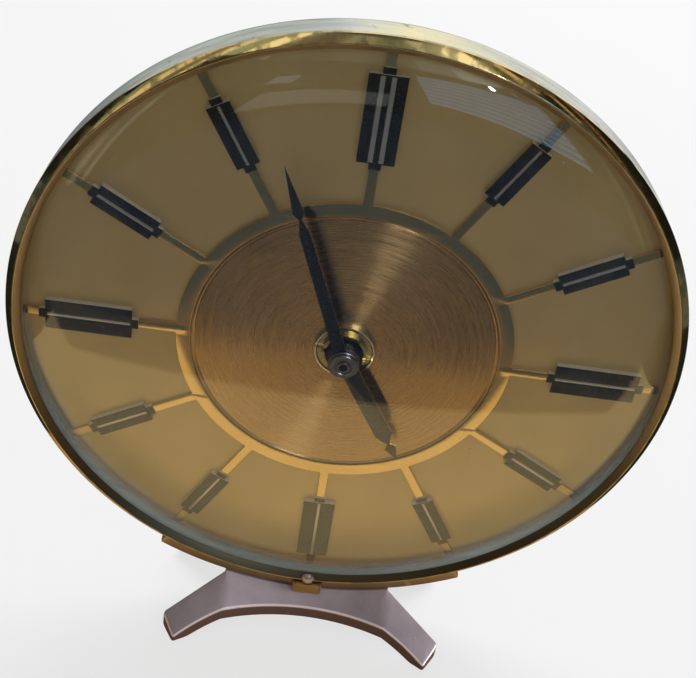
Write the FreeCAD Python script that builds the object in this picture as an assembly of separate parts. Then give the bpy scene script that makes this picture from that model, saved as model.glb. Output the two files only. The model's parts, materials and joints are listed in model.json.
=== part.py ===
import FreeCAD, Part
import math
import os

# Round table clock with a battery centre-fix movement.
# Working frame while building: origin at the dial's centre, on the dial's front face,
# x to the right, z up and y towards the back. Everything is moved at export, so that the
# finished part stands on the table at z = 0 with the foot's centre on the z axis.

V = FreeCAD.Vector

# ---------------------------------------------------------------- running and fitting gaps
RUN_GAP = 0.05               # shafts in their bearings, radial
SEAT_GAP = 0.10              # loose seats: lip over glass, hands' own washers
SLIP_GAP = 0.30              # doors, knobs and wheels beside fixed walls
CUT_REACH = 20.0             # how far a cutting tool reaches past what it cuts

# ---------------------------------------------------------------- bezel and case
LIP_R = 85.0                 # outside of the rolled lip
LIP_WIDTH = 3.6              # from the lip's outside to its inner edge over the glass
LIP_INNER_Y = -3.45
LIP_CREST_INSET = 1.9
LIP_CREST_Y = -5.0
LIP_OUTER_Y = -3.4
LIP_OVERHANG = 0.2           # the lip stands proud of the drum
SKIRT_WALL = 0.55            # skirt of the bezel, pushed into the drum
SKIRT_END = 0.9
CASE_WALL = 1.0
CASE_FRONT = -2.4            # front edge of the drum
CASE_BACK = 5.9              # rear face of the drum
CASE_EDGE_R = 1.2            # rounding of the rear edge
LIP_INNER_R = LIP_R - LIP_WIDTH
LIP_CREST_R = LIP_R - LIP_CREST_INSET
CASE_R = LIP_R - LIP_OVERHANG
CASE_INNER_R = CASE_R - CASE_WALL
SKIRT_R = CASE_INNER_R - RUN_GAP
SKIRT_INNER_R = SKIRT_R - SKIRT_WALL

# ---------------------------------------------------------------- glass
GLASS_R = SKIRT_INNER_R - 2 * SEAT_GAP
GLASS_WALL = 1.6
GLASS_EDGE_WIDTH = 15.0      # the dome curves down to its rim over this width
GLASS_FLAT_R = GLASS_R - GLASS_EDGE_WIDTH
GLASS_CENTRE_RISE = 3.0
GLASS_EDGE_CURVE_R = 25.0    # tighter curve near the edge
GLASS_EDGE_Y = -1.95         # front of the cut edge
GLASS_RIM_Y = -0.95          # ground rim at the back

# ---------------------------------------------------------------- dial
DIAL_R = SKIRT_INNER_R - SLIP_GAP
DIAL_WALL = 0.8
SEAT_RING_WIDTH = 2.1        # ring under the glass
DISC_R = 39.0                # brushed disc in the middle of the dial
DISC_WALL = 0.5
RING_INNER_R = DISC_R + SLIP_GAP
RING_OUTER_R = RING_INNER_R + 3.5
SPIDER_WALL = 0.8
SPOKE_END_R = GLASS_R - SEAT_RING_WIDTH - SEAT_GAP
SPOKE_WIDTH = 2.2
HOUR_STEP = 30               # degrees from one hour to the next
LINE_WIDTH = 0.66            # bright line along the middle of a marker
TWIN_LINE_WIDTH = 1.1        # each of the two lines of the twelve o'clock marker
TWIN_LINE_OFFSET = 1.25
LINE_RISE = 0.5
LINE_MARGIN = 0.5            # the line ends before the marker does
MARKER_RISE = 1.4            # top of the black markers above the dial
LONG_LENGTH, LONG_FROM_EDGE, LONG_WIDTH = 21.6, 7.5, 8.8
SHORT_LENGTH, SHORT_FROM_EDGE, SHORT_WIDTH = 16.1, 10.3, 5.8
STUB_LENGTH = 1.6            # narrow black stubs at both ends of a marker
STUB_WIDTH = 2.9
STUB_DROP = 0.2
SPACER_WALL = 1.2

# ---------------------------------------------------------------- nested tubes in the centre
ARBOR_R = 0.5
PIVOT_R = 0.4                # thinner arbor of the rotor
MINUTE_BORE_R = 1.05
MINUTE_TUBE_R = 1.6
HOUR_TUBE_R = 2.45
BUSH_BORE_R = HOUR_TUBE_R + RUN_GAP
BUSH_R = 4.0
DIAL_HOLE_R = BUSH_R + SEAT_GAP
WASHER_WIDTH, WASHER_WALL = 5.0, 0.9        # rubber washer behind the dial
BUSH_FLANGE_WIDTH, BUSH_FLANGE = 2.0, 0.5
BUSH_PROUD = 0.8             # the bush stands out of its nut
FIX_NUT_R = 7.65
FIX_NUT_RIM = 1.0            # thickness of the outer rim
FIX_NUT_BOSS_R = 5.7
FIX_NUT_BOSS = 2.0
FIX_NUT_GROOVE, FIX_NUT_GROOVE_DEPTH = 0.5, 0.65
FIX_SLOT_WIDTH, FIX_SLOT_DEPTH = 1.3, 1.2
FIX_SLOT_TURN = 8.0
BUSH_FRONT = -DISC_WALL - FIX_NUT_BOSS - BUSH_PROUD

# ---------------------------------------------------------------- hands
MINUTE_ANGLE = 339.3         # clockwise from twelve at rest
HOUR_ANGLE = 149.5
HAND_WALL = 0.4
MINUTE_TIP, HOUR_TIP = 57.0, 36.0
MINUTE_HALF, HOUR_HALF = 1.7, 2.3           # half widths of the blades at the eye
MINUTE_FAR_HALF = 1.35       # half width where the minute hand's taper begins
SPEAR_HALF, HOUR_SPEAR_HALF = 1.4, 1.6
NECK_HALF = 0.35
SPEAR_LENGTH, HOUR_SPEAR_LENGTH = 12.5, 4.6
NECK_LENGTH, HOUR_NECK_LENGTH = 2.0, 1.4
TAPER_LENGTH, HOUR_TAPER_LENGTH = 3.9, 3.4
HOUR_STAND = 1.6             # hour hand's face in front of the bush
HAND_PITCH = 1.7             # minute hand's face in front of the hour hand's
HOUR_Y = BUSH_FRONT - HOUR_STAND
MINUTE_Y = HOUR_Y - HAND_PITCH
HAND_BOSS_R, MINUTE_BOSS_R = 4.0, 3.0
WASHER_COUNT, WASHER_NECK, WASHER_RIM_SHARE = 3, 0.6, 0.6
NUT_R, NUT_BASE, NUT_FACE, NUT_STEP = 4.0, 0.5, 0.7, 0.5
NUT_RECESS, NUT_RECESS_DEPTH = 0.5, 0.3
NUT_FRONT = MINUTE_Y - NUT_BASE - NUT_FACE
TUBE_FRONT = NUT_FRONT - 0.2
SECONDS_RECESS = 2.5         # the seconds arbor ends this deep in its tube

# ---------------------------------------------------------------- movement housing
CELL_R, CELL_LENGTH = 7.1, 49.2             # battery, size AA
CELL_ROOM = 6.8              # contacts and walls beyond the battery's length
BOX_LEAST = 56.0             # square housing, larger where the battery needs it
BOX = max(BOX_LEAST, CELL_LENGTH + CELL_ROOM)
BOX_WALL = 1.4
BOX_CORNER_R = 3.0
BOX_DEPTH = 15.5
BOX_TRAY = 5.3               # depth of the front tray
BOX_FLOOR = 1.3
BOX_FRONT = DIAL_WALL + WASHER_WALL
FLOOR_BACK = BOX_FRONT + BOX_FLOOR
BOX_SPLIT = BOX_FRONT + BOX_TRAY
BOX_BACK = BOX_FRONT + BOX_DEPTH
REAR_WALL_FRONT = BOX_BACK - BOX_WALL
INNER_HALF = BOX / 2 - BOX_WALL
PLATE_WALL = 0.9             # middle plate
BAY_WALL = 0.9               # wall between the gears and the battery
POST_R = 1.6
POST_INSET = 2.2             # posts stand this far inside the housing's walls
ROOT = 0.5                   # overlap of a post or web with the wall that it grows out of
PIVOT_DEPTH = 0.7            # arbors run this deep in the housing

# ---------------------------------------------------------------- battery and its contacts
CELL_NUB_R, CELL_NUB = 2.7, 1.3
CELL_Y = FLOOR_BACK + SLIP_GAP + CELL_R
CELL_Z = -INNER_HALF + 2 * SEAT_GAP + CELL_R
BAY_WALL_TOP = CELL_Z + CELL_R + SLIP_GAP + BAY_WALL
CONTACT_WALL = 0.4
CONTACT_HALF_WIDTH, CONTACT_HALF_HEIGHT = 4.0, 4.5
CONE_R, CONE_TIP_R, CONE_BORE_R = 3.6, 2.4, 1.8

# ---------------------------------------------------------------- wheels
PRESSURE_ANGLE = math.radians(30)
TOOTH_SHARE = 0.41           # tooth thickness as a share of the pitch
ADDENDUM, DEDENDUM = 0.75, 1.0
WHEEL_WALL = 0.6
MOTION_WALL = 1.0
HOUR_TEETH, MINUTE_PINION_TEETH = 40, 10
CANNON_TEETH, MINUTE_TEETH, SETTING_TEETH = 12, 36, 18
MOTION_MODULE = 0.5
SETTING_DIRECTION = 20.0     # setting wheel, seen from the minute wheel
SECONDS_PINION_TEETH, THIRD_TEETH = 8, 60
THIRD_PINION_TEETH, CENTRE_TEETH = 8, 64
THIRD_DISTANCE = 11.7
THIRD_DIRECTION = 10.0
SECONDS_TEETH, INTER_PINION_TEETH = 50, 10
INTER_MODULE = 0.41
INTER_DIRECTION = 150.0
INTER_TEETH, ROTOR_TEETH = 48, 8
ROTOR_MODULE = 0.30
ROTOR_DIRECTION = 175.0
STUD_PIN_R = 0.8             # pin that the minute wheel turns on
LAP = 0.2                    # a pinion reaches past the wheel that it drives
MOTION_PITCH, TRAIN_PITCH = 1.4, 1.4        # from one wheel's plane to the next
HOUR_WHEEL_Y = FLOOR_BACK + BUSH_FLANGE + SLIP_GAP
MINUTE_WHEEL_Y = HOUR_WHEEL_Y + MOTION_PITCH
CENTRE_WHEEL_Y = BOX_SPLIT + PLATE_WALL + 0.5
THIRD_WHEEL_Y = CENTRE_WHEEL_Y + TRAIN_PITCH
SECONDS_WHEEL_Y = THIRD_WHEEL_Y + TRAIN_PITCH
INTER_WHEEL_Y = SECONDS_WHEEL_Y + TRAIN_PITCH
MAGNET_R, MAGNET_WALL, MAGNET_RISE = 2.6, 1.4, 1.1
MAGNET_Y = INTER_WHEEL_Y + MAGNET_RISE
CLUTCH_R = 1.3               # seat of the centre wheel on the minute arbor
CLUTCH_SPRING_R, CLUTCH_SPRING_WALL = 3.0, 0.2

# ---------------------------------------------------------------- motor and electronics
STATOR_Y, STATOR_WALL = MAGNET_Y + 0.2, 1.0
STATOR_HALF = 4.0            # half height of its plate, about the rotor
STATOR_LEFT, STATOR_RIGHT = 0.6 - INNER_HALF, -4.0
MAGNET_ROOM = 0.5
ARM_WIDTH = 3.5
COIL_INSET = 6.6             # from the housing's upper wall to the coil's axis
COIL_Z = INNER_HALF - COIL_INSET
CORE_WIDTH = 3.0
COIL_R = 2.3
COIL_MARGIN = 1.0
BOBBIN_WALL = 0.5
FLANGE_RISE, WINDING_RISE = 1.6, 1.4
BOARD_Y, BOARD_WALL = INTER_WHEEL_Y + 1.0, 1.0
BOARD_LEFT, BOARD_RIGHT, BOARD_LOW, BOARD_HIGH = 5.0, INNER_HALF - 0.6, -7.5, INNER_HALF - 0.6
SCREW_R, SCREW_HEAD_R, SCREW_HEAD = 0.8, 1.4, 0.7
CHIP_BALL_R, CHIP_RISE = 3.4, 1.1
CHIP_X, CHIP_Z = 20.0, 4.0
CRYSTAL_R, CRYSTAL_LENGTH = 1.0, 6.0
CRYSTAL_X, CRYSTAL_Z = 18.0, INNER_HALF - 3.1

# ---------------------------------------------------------------- rear cover, knob and battery door
CUP_WALL = 1.4
CUP_ROOM = 3.25              # between the housing's corners and the cover
CUP_DEPTH_ROOM = 0.8
CUP_R = (BOX / 2 - BOX_CORNER_R) * math.sqrt(2) + BOX_CORNER_R + CUP_ROOM + CUP_WALL
CUP_BACK = BOX_BACK + CUP_DEPTH_ROOM + CUP_WALL
CUP_EDGE_R = 3.0
CUP_FLANGE_WIDTH = 7.0
CUP_FLANGE = 1.0
CUP_SCREW_OFFSET = 3.6       # screws outside the barrel of the cover
CUP_SCREW_COUNT = 3
CUP_SCREW_R = 1.2
CUP_SCREW_HEAD_R, CUP_SCREW_HEAD = 2.3, 1.2
HOLE_INSET = 0.8             # the drum's hole is smaller than the inside of the cover
CASE_HOLE_R = CUP_R - CUP_WALL - HOLE_INSET
KNOB_SHAFT_R, KNOB_PIN_R = 1.5, 1.0
KNOB_R = 4.6
KNOB_FRONT, KNOB_BACK = BOX_BACK + SLIP_GAP, CUP_BACK + 2.0
KNOB_FLUTES, KNOB_FLUTE_R = 18, 0.45
KNOB_HOLE_R = KNOB_R + 1.6
DOOR_MARGIN_X = 2.9          # the door's opening is larger than the battery: at the ends,
DOOR_MARGIN_LOW, DOOR_MARGIN_HIGH = 1.8, 0.8    # under it and over it
DOOR_WIDTH = CELL_LENGTH + 2 * DOOR_MARGIN_X
DOOR_LOW = CELL_Z - CELL_R - DOOR_MARGIN_LOW
DOOR_HIGH = CELL_Z + CELL_R + DOOR_MARGIN_HIGH
DOOR_PIN_R = 0.5
KNUCKLE_R = 1.0
KNUCKLE_WIDTH = 8.0
KNUCKLE_WEB = 2.4
GRIP_COUNT, GRIP_R, GRIP_PITCH, GRIP_LENGTH = 3, 0.3, 1.2, 14.0

# ---------------------------------------------------------------- cradle, clip and foot
CRADLE_WALL = 3.9
CRADLE_R = CASE_R + CRADLE_WALL
CRADLE_HALF_ANGLE = 29.7
CRADLE_FRONT, CRADLE_BACK = CASE_FRONT, CASE_BACK - 0.5
CRADLE_SCREW_ANGLE = 20.0
CRADLE_SCREW_R, CRADLE_SCREW_DEPTH = 1.0, 2.4
CRADLE_SCREW_HEAD_R, CRADLE_SCREW_HEAD = 1.8, 0.5
CLIP_HALF_WIDTH = 4.35
CLIP_STAND, CLIP_WALL = 0.7, 1.1    # front of the hook before the lip's crest, and its thickness
CLIP_LAP = 0.55              # the hook reaches up this far in front of the lip
CLIP_EDGE = 0.7              # from the clip's lower edge to the outside of the cradle
STUD_INSET, STUD_R, STUD_RISE = 0.8, 2.0, 1.4
STUD_SHANK_R, STUD_DEPTH = 0.7, 1.1
FOOT_STAND = 12.3            # height of the cradle's lowest line above the table
FOOT_WALL = 3.9              # height of the foot's edge
FOOT_SLOPE = 0.80            # fall of its top per millimetre to the front and to the back
FOOT_FLAT = 4.0              # half width of the level strip under the cradle
FOOT_OVERLAP = 0.4           # height that is cut away again to seat the cradle
FOOT_SHOULDER_X = 24.0       # where the foot leaves the cradle
FOOT_SIDE_FALL = 0.10
FOOT_WAIST_X, FOOT_WAIST_Y = 24.4, 4.5
FOOT_OUTER_X, FOOT_OUTER_Y = 41.0, 14.6
FOOT_TIP_X, FOOT_TIP_Y = 37.0, 20.3
FOOT_ARCH_Y = 9.2            # half depth at the middle of the arch
FOOT_CORNER_R = 1.2
FOOT_BLANK_MARGIN = 5.0      # the sheet reaches past the plan that is cut out of it
FOOT_SCREW_X = 12.0
FOOT_SCREW_R = 1.5
FOOT_SCREW_DEPTH = 2.7       # how deep the screws go into the cradle
FOOT_SCREW_HEAD_R, FOOT_SCREW_HEAD = 2.9, 1.6

# ---------------------------------------------------------------- placing
AXIS_HEIGHT = CRADLE_R + FOOT_STAND         # table to the centre of the dial
FOOT_CENTRE_Y = 1.6          # foot's centre line, behind the dial's front face


# ================================================================ helpers
def polar(radius, degrees, y=0.0):
    """Point on the dial: angle counter-clockwise from three o'clock, seen from the front."""
    a = math.radians(degrees)
    return V(radius * math.cos(a), y, radius * math.sin(a))


def disc(radius, y0, y1, centre=V(0, 0, 0)):
    return Part.makeCylinder(radius, y1 - y0, V(centre.x, y0, centre.z), V(0, 1, 0))


def hole(radius, centre=V(0, 0, 0)):
    """Cutting tool for a hole right through whatever lies at centre."""
    return disc(radius, -CUT_REACH, 2 * CUT_REACH, centre)


def ring(outer, inner, y0, y1, centre=V(0, 0, 0)):
    return disc(outer, y0, y1, centre).cut(hole(inner, centre))


def block(x0, x1, y0, y1, z0, z1):
    return Part.makeBox(x1 - x0, y1 - y0, z1 - z0, V(x0, y0, z0))


def outline(points):
    """Closed wire through points; a tuple (middle, end) is an arc from the last point."""
    edges = []
    start = points[0]
    last = start
    for item in points[1:]:
        if isinstance(item, tuple):
            edges.append(Part.Arc(last, item[0], item[1]).toShape())
            last = item[1]
        else:
            edges.append(Part.makeLine(last, item))
            last = item
    if last.distanceToPoint(start) > 1e-6:
        edges.append(Part.makeLine(last, start))
    return Part.Wire(edges)


def spun(points):
    """Solid of revolution about the clock's axis; points are (radius, y)."""
    def at(p):
        return V(p[0], p[1], 0)
    path = [(at(p[0]), at(p[1])) if isinstance(p[0], tuple) else at(p) for p in points]
    return Part.Face(outline(path)).revolve(V(0, 0, 0), V(0, 1, 0), 360)


def plate(points, y0, y1):
    """Flat plate from an outline of (x, z) points."""
    wire = Part.makePolygon([V(x, y0, z) for x, z in points] + [V(points[0][0], y0, points[0][1])])
    return Part.Face(wire).extrude(V(0, y1 - y0, 0))


def rounded_box(half, radius, y0, y1):
    solid = block(-half, half, y0, y1, -half, half)
    edges = [e for e in solid.Edges if abs(e.Vertexes[0].Y - e.Vertexes[-1].Y) > (y1 - y0) / 2]
    return solid.makeFillet(radius, edges)


def turned(shape, clockwise_degrees):
    """Copy of a shape turned clockwise about the clock's axis, seen from the front."""
    copy = shape.copy()
    copy.rotate(V(0, 0, 0), V(0, 1, 0), clockwise_degrees)
    return copy


def joined(shapes):
    solid = shapes[0]
    for other in shapes[1:]:
        solid = solid.fuse(other)
    return solid.removeSplitter()


def save(name, solids):
    """Move the finished node to its place above the table and write it."""
    shape = solids if isinstance(solids, Part.Shape) else Part.makeCompound(solids)
    shape = shape.copy()
    shape.translate(V(0, -FOOT_CENTRE_Y, AXIS_HEIGHT))
    shape.exportStep("parts/" + name + ".step")


# ================================================================ toothed wheels
def involute(angle):
    return math.tan(angle) - angle


def gear(teeth, module, y0, y1, centre, phase):
    """Spur gear with a tooth at the angle phase (degrees, as in polar)."""
    pitch_r = module * teeth / 2
    base_r = pitch_r * math.cos(PRESSURE_ANGLE)
    root_r = pitch_r - DEDENDUM * module
    tip_r = pitch_r + ADDENDUM * module
    half_pitch = TOOTH_SHARE * math.pi / teeth

    def half_angle(radius):
        roll = math.acos(min(1.0, base_r / radius))
        return half_pitch + involute(PRESSURE_ANGLE) - involute(roll)

    radii = [root_r, max(base_r, root_r + 0.3 * module), pitch_r + 0.1 * module, tip_r]
    flank = [(r, half_angle(max(r, base_r))) for r in radii]
    points = []
    for k in range(teeth):
        middle = math.radians(phase) + 2 * math.pi * k / teeth
        points += [(r, middle - h) for r, h in flank]
        points += [(r, middle + h) for r, h in reversed(flank)]
    ring_points = [V(centre.x + r * math.cos(a), y0, centre.z + r * math.sin(a)) for r, a in points]
    wire = Part.makePolygon(ring_points + ring_points[:1])
    return Part.Face(wire).extrude(V(0, y1 - y0, 0))


def meshed_phase(phase, teeth, other_teeth, direction):
    """Phase of the other wheel, so that its gap meets this wheel's tooth along direction."""
    turns = ((direction - phase) * teeth / 360.0) % 1.0
    return direction + 180.0 - (0.5 - turns) * 360.0 / other_teeth


# ================================================================ case, bezel and glass
def glass_angles():
    """Slopes where the edge curve starts and where the glass is cut."""
    centre_r = (GLASS_FLAT_R ** 2 + GLASS_CENTRE_RISE ** 2) / (2 * GLASS_CENTRE_RISE)
    start = math.asin(GLASS_FLAT_R / centre_r)
    end = math.asin(math.sin(start) + (GLASS_R - GLASS_FLAT_R) / GLASS_EDGE_CURVE_R)
    return start, end


def glass_face_points(inset):
    """Crown, middle and end of the two arcs of one face of the dome, inset along its normal."""
    start, end = glass_angles()
    centre_r = GLASS_FLAT_R / math.sin(start)
    edge_centre_y = GLASS_EDGE_Y + GLASS_EDGE_CURVE_R * math.cos(end)
    edge_centre_x = GLASS_R - GLASS_EDGE_CURVE_R * math.sin(end)
    edge_r = GLASS_EDGE_CURVE_R - inset
    join_y = edge_centre_y - GLASS_EDGE_CURVE_R * math.cos(start)
    crown_centre_y = join_y + centre_r * math.cos(start)
    crown_r = centre_r - inset

    def edge(angle):
        return (edge_centre_x + edge_r * math.sin(angle), edge_centre_y - edge_r * math.cos(angle))

    def crown(angle):
        return (crown_r * math.sin(angle), crown_centre_y - crown_r * math.cos(angle))

    return [crown(0), crown(start / 2), edge(start), edge((start + end) / 2), edge(end)]


def make_glass():
    front = glass_face_points(0)
    back = glass_face_points(GLASS_WALL)
    foot_r = back[4][0]
    section = spun([
        front[0], (front[1], front[2]), (front[3], front[4]),
        (GLASS_R, back[4][1]), back[4], (back[3], back[2]), (back[1], back[0])])
    return section.cut(disc(GLASS_R + foot_r, GLASS_RIM_Y, CUT_REACH))


def make_bezel():
    solid = spun([
        (LIP_INNER_R, LIP_INNER_Y),
        ((LIP_CREST_R, LIP_CREST_Y), (LIP_R, LIP_OUTER_Y)),
        (LIP_R, CASE_FRONT), (SKIRT_R, CASE_FRONT), (SKIRT_R, SKIRT_END),
        (SKIRT_INNER_R, SKIRT_END), (SKIRT_INNER_R, LIP_INNER_Y + 0.45)])
    return solid.cut(disc(STUD_SHANK_R, LIP_CREST_Y - 2, LIP_CREST_Y + STUD_DEPTH, stud_centre()))


def stud_centre():
    return V(0, 0, -(LIP_CREST_R - STUD_INSET))


def cup_screw_points():
    step = 360 / CUP_SCREW_COUNT
    return [polar(CUP_R + CUP_SCREW_OFFSET, 90 + k * step) for k in range(CUP_SCREW_COUNT)]


def cradle_screw(side, head):
    """Round screw from inside the drum into the cradle."""
    y = CRADLE_BACK - 2.5
    direction = polar(1, 270 + side * CRADLE_SCREW_ANGLE)
    top = direction * (CASE_INNER_R - CRADLE_SCREW_HEAD) + V(0, y, 0)
    length = CRADLE_SCREW_HEAD + CASE_WALL + CRADLE_SCREW_DEPTH
    shank = Part.makeCylinder(CRADLE_SCREW_R, length, top, direction)
    if not head:
        return shank
    cap = Part.makeCylinder(CRADLE_SCREW_HEAD_R, CRADLE_SCREW_HEAD + ROOT, top, direction)
    return joined([shank, cap.common(hole(CASE_INNER_R))])


def make_case():
    corner = CASE_R - CASE_EDGE_R
    turn = CASE_EDGE_R * (1 - math.sqrt(0.5))
    wall_front = CASE_BACK - CASE_WALL
    solid = spun([
        (CASE_INNER_R, CASE_FRONT), (CASE_R, CASE_FRONT), (CASE_R, CASE_BACK - CASE_EDGE_R),
        ((CASE_R - turn, CASE_BACK - turn), (corner, CASE_BACK)),
        (CASE_HOLE_R, CASE_BACK), (CASE_HOLE_R, wall_front), (CASE_INNER_R, wall_front)])
    for p in cup_screw_points():
        solid = solid.cut(hole(CUP_SCREW_R, p))
    for side in (-1, 1):
        solid = solid.cut(cradle_screw(side, False))
    return solid


# ================================================================ dial
def spoke(clock, width, r0, r1, y0, y1, offset=0.0):
    """Straight bar along a radius, at an hour given in degrees clockwise from twelve."""
    return turned(block(offset - width / 2, offset + width / 2, y0, y1, r0, r1), clock)


def is_long(hour):
    return hour % 3 == 0


def marker_span(hour):
    """Inner and outer end of a marker."""
    length, margin = (LONG_LENGTH, LONG_FROM_EDGE) if is_long(hour) else (SHORT_LENGTH, SHORT_FROM_EDGE)
    outer = DIAL_R - margin
    return outer - length, outer


def line_offsets(hour):
    return (-TWIN_LINE_OFFSET, TWIN_LINE_OFFSET) if hour == 0 else (0.0,)


def line_width(hour):
    return TWIN_LINE_WIDTH if hour == 0 else LINE_WIDTH


def lined_width(hour):
    """Width of the bar that carries the marker's lines."""
    return 2 * max(line_offsets(hour)) + line_width(hour)


def make_spider():
    """Raised ring with twelve spokes, and the bright lines that show in the markers."""
    bars = [ring(RING_OUTER_R, RING_INNER_R, -SPIDER_WALL, 0)]
    root_r = (RING_INNER_R + RING_OUTER_R) / 2
    for hour in range(12):
        clock = hour * HOUR_STEP
        inner, outer = marker_span(hour)
        inner += LINE_MARGIN
        outer -= LINE_MARGIN
        bars.append(spoke(clock, SPOKE_WIDTH, root_r, SPOKE_END_R, -SPIDER_WALL, 0))
        if lined_width(hour) > SPOKE_WIDTH:
            bars.append(spoke(clock, lined_width(hour), inner, outer, -SPIDER_WALL, 0))
        for offset in line_offsets(hour):
            bars.append(spoke(clock, line_width(hour), inner, outer,
                              -SPIDER_WALL - LINE_RISE, -SPIDER_WALL / 2, offset))
    return joined(bars)


def make_marker(hour):
    """Black applied marker, hollow underneath over its spoke and slotted for the line."""
    inner, outer = marker_span(hour)
    half_width = (LONG_WIDTH if is_long(hour) else SHORT_WIDTH) / 2
    body = block(-half_width, half_width, -MARKER_RISE, 0, inner, outer)
    for r0 in (inner - STUB_LENGTH, outer):
        stub = block(-STUB_WIDTH / 2, STUB_WIDTH / 2, STUB_DROP - MARKER_RISE, 0, r0, r0 + STUB_LENGTH)
        body = body.fuse(stub)
    body = body.removeSplitter()
    line_in = inner + LINE_MARGIN - RUN_GAP
    line_out = outer - LINE_MARGIN + RUN_GAP
    roof = -SPIDER_WALL - RUN_GAP
    half = SPOKE_WIDTH / 2 + RUN_GAP
    body = body.cut(block(-half, half, roof, CUT_REACH, inner - CUT_REACH, outer + CUT_REACH))
    half = lined_width(hour) / 2 + RUN_GAP
    body = body.cut(block(-half, half, roof, CUT_REACH, line_in, line_out))
    half = line_width(hour) / 2 + RUN_GAP
    for offset in line_offsets(hour):
        body = body.cut(block(offset - half, offset + half, -CUT_REACH, 0, line_in, line_out))
    return turned(body, hour * HOUR_STEP)


# ================================================================ hands and their fixings
def make_fixing_nut():
    """Flat round nut with a thin rim, a raised boss and two spanner slots."""
    top = -DISC_WALL
    rim = top - FIX_NUT_RIM
    solid = disc(FIX_NUT_R, rim, top).fuse(disc(FIX_NUT_BOSS_R, top - FIX_NUT_BOSS, top))
    groove = ring(FIX_NUT_R - FIX_NUT_GROOVE, FIX_NUT_BOSS_R, rim - 1, top - FIX_NUT_GROOVE_DEPTH)
    solid = solid.cut(groove).cut(hole(BUSH_R))
    for angle in (0, 180):
        slot = block(FIX_NUT_BOSS_R - FIX_SLOT_DEPTH, FIX_NUT_R + 1, -CUT_REACH, top - FIX_NUT_RIM / 2,
                     -FIX_SLOT_WIDTH / 2, FIX_SLOT_WIDTH / 2)
        solid = solid.cut(turned(slot, angle + FIX_SLOT_TURN))
    return solid.removeSplitter()


def hand_blade(stations, y_front, boss_r, bore_r, clock):
    """Flat hand from (distance, half width) stations, with a round eye at its root."""
    right = [(w, s) for s, w in stations]
    left = [(-w, s) for s, w in reversed(stations) if w > 0]
    blade = plate(right + left, y_front, y_front + HAND_WALL)
    eye = disc(boss_r, y_front, y_front + HAND_WALL)
    return turned(blade.fuse(eye).removeSplitter().cut(hole(bore_r)), clock)


def blade_stations(tip, half, far_half, spear_half, spear, neck, taper):
    """A blade from half to far_half, a taper to a thin neck and a spear point."""
    neck_out = tip - spear
    neck_in = neck_out - neck
    return [(0, half), (neck_in - taper, far_half), (neck_in, NECK_HALF),
            (neck_out, spear_half), (tip, 0.0)]


def make_minute_hand():
    stations = blade_stations(MINUTE_TIP, MINUTE_HALF, MINUTE_FAR_HALF, SPEAR_HALF,
                              SPEAR_LENGTH, NECK_LENGTH, TAPER_LENGTH)
    return hand_blade(stations, MINUTE_Y, MINUTE_BOSS_R, MINUTE_TUBE_R, MINUTE_ANGLE)


def make_hour_hand():
    stations = blade_stations(HOUR_TIP, HOUR_HALF, HOUR_HALF, HOUR_SPEAR_HALF, HOUR_SPEAR_LENGTH,
                              HOUR_NECK_LENGTH, HOUR_TAPER_LENGTH)
    blade = hand_blade(stations, HOUR_Y, HAND_BOSS_R, HOUR_TUBE_R, HOUR_ANGLE)
    collet = ring(HAND_BOSS_R, HOUR_TUBE_R, HOUR_Y + HAND_WALL, BUSH_FRONT - 2 * SEAT_GAP)
    return joined([blade, collet])


def make_hand_washers():
    """Thin black washers that space the minute hand from the hour hand."""
    back = HOUR_Y - SEAT_GAP
    front = MINUTE_Y + HAND_WALL
    pitch = (back - front) / WASHER_COUNT
    rim_wall = WASHER_RIM_SHARE * pitch
    solids = []
    for k in range(WASHER_COUNT):
        y0 = front + k * pitch
        rim = ring(HAND_BOSS_R, MINUTE_TUBE_R, y0, y0 + rim_wall)
        neck = ring(HAND_BOSS_R - WASHER_NECK, MINUTE_TUBE_R, y0 + rim_wall, y0 + pitch)
        solids.append(joined([rim, neck]))
    return solids


def make_hand_nut():
    """Round open nut: a wider dark base and a smaller bright face."""
    base = ring(NUT_R, MINUTE_TUBE_R, MINUTE_Y - NUT_BASE, MINUTE_Y)
    face = ring(NUT_R - NUT_STEP, MINUTE_TUBE_R, NUT_FRONT, MINUTE_Y - NUT_BASE)
    recess = disc(MINUTE_TUBE_R + NUT_RECESS, NUT_FRONT - 1, NUT_FRONT + NUT_RECESS_DEPTH)
    return joined([base, face]).cut(recess)


# ================================================================ movement
ORIGIN = V(0, 0, 0)
MOTION_DISTANCE = MOTION_MODULE * (CANNON_TEETH + MINUTE_TEETH) / 2
HOUR_MODULE = 2 * MOTION_DISTANCE / (HOUR_TEETH + MINUTE_PINION_TEETH)
SETTING_DISTANCE = MOTION_MODULE * (MINUTE_TEETH + SETTING_TEETH) / 2
MINUTE_CENTRE = V(0, 0, MOTION_DISTANCE)
SETTING_CENTRE = MINUTE_CENTRE + polar(SETTING_DISTANCE, SETTING_DIRECTION)
THIRD_CENTRE = polar(THIRD_DISTANCE, THIRD_DIRECTION)
THIRD_MODULE = 2 * THIRD_DISTANCE / (SECONDS_PINION_TEETH + THIRD_TEETH)
CENTRE_MODULE = 2 * THIRD_DISTANCE / (THIRD_PINION_TEETH + CENTRE_TEETH)
INTER_DISTANCE = INTER_MODULE * (SECONDS_TEETH + INTER_PINION_TEETH) / 2
INTER_CENTRE = polar(INTER_DISTANCE, INTER_DIRECTION)
ROTOR_DISTANCE = ROTOR_MODULE * (INTER_TEETH + ROTOR_TEETH) / 2
ROTOR_CENTRE = INTER_CENTRE + polar(ROTOR_DISTANCE, ROTOR_DIRECTION)
ARBOR_FRONT = BOX_SPLIT + LAP
ARBOR_BACK = REAR_WALL_FRONT + PIVOT_DEPTH
CORE_Y = STATOR_Y - STATOR_WALL
ARBORS = [(THIRD_CENTRE, ARBOR_R), (INTER_CENTRE, ARBOR_R), (ROTOR_CENTRE, PIVOT_R)]


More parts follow.
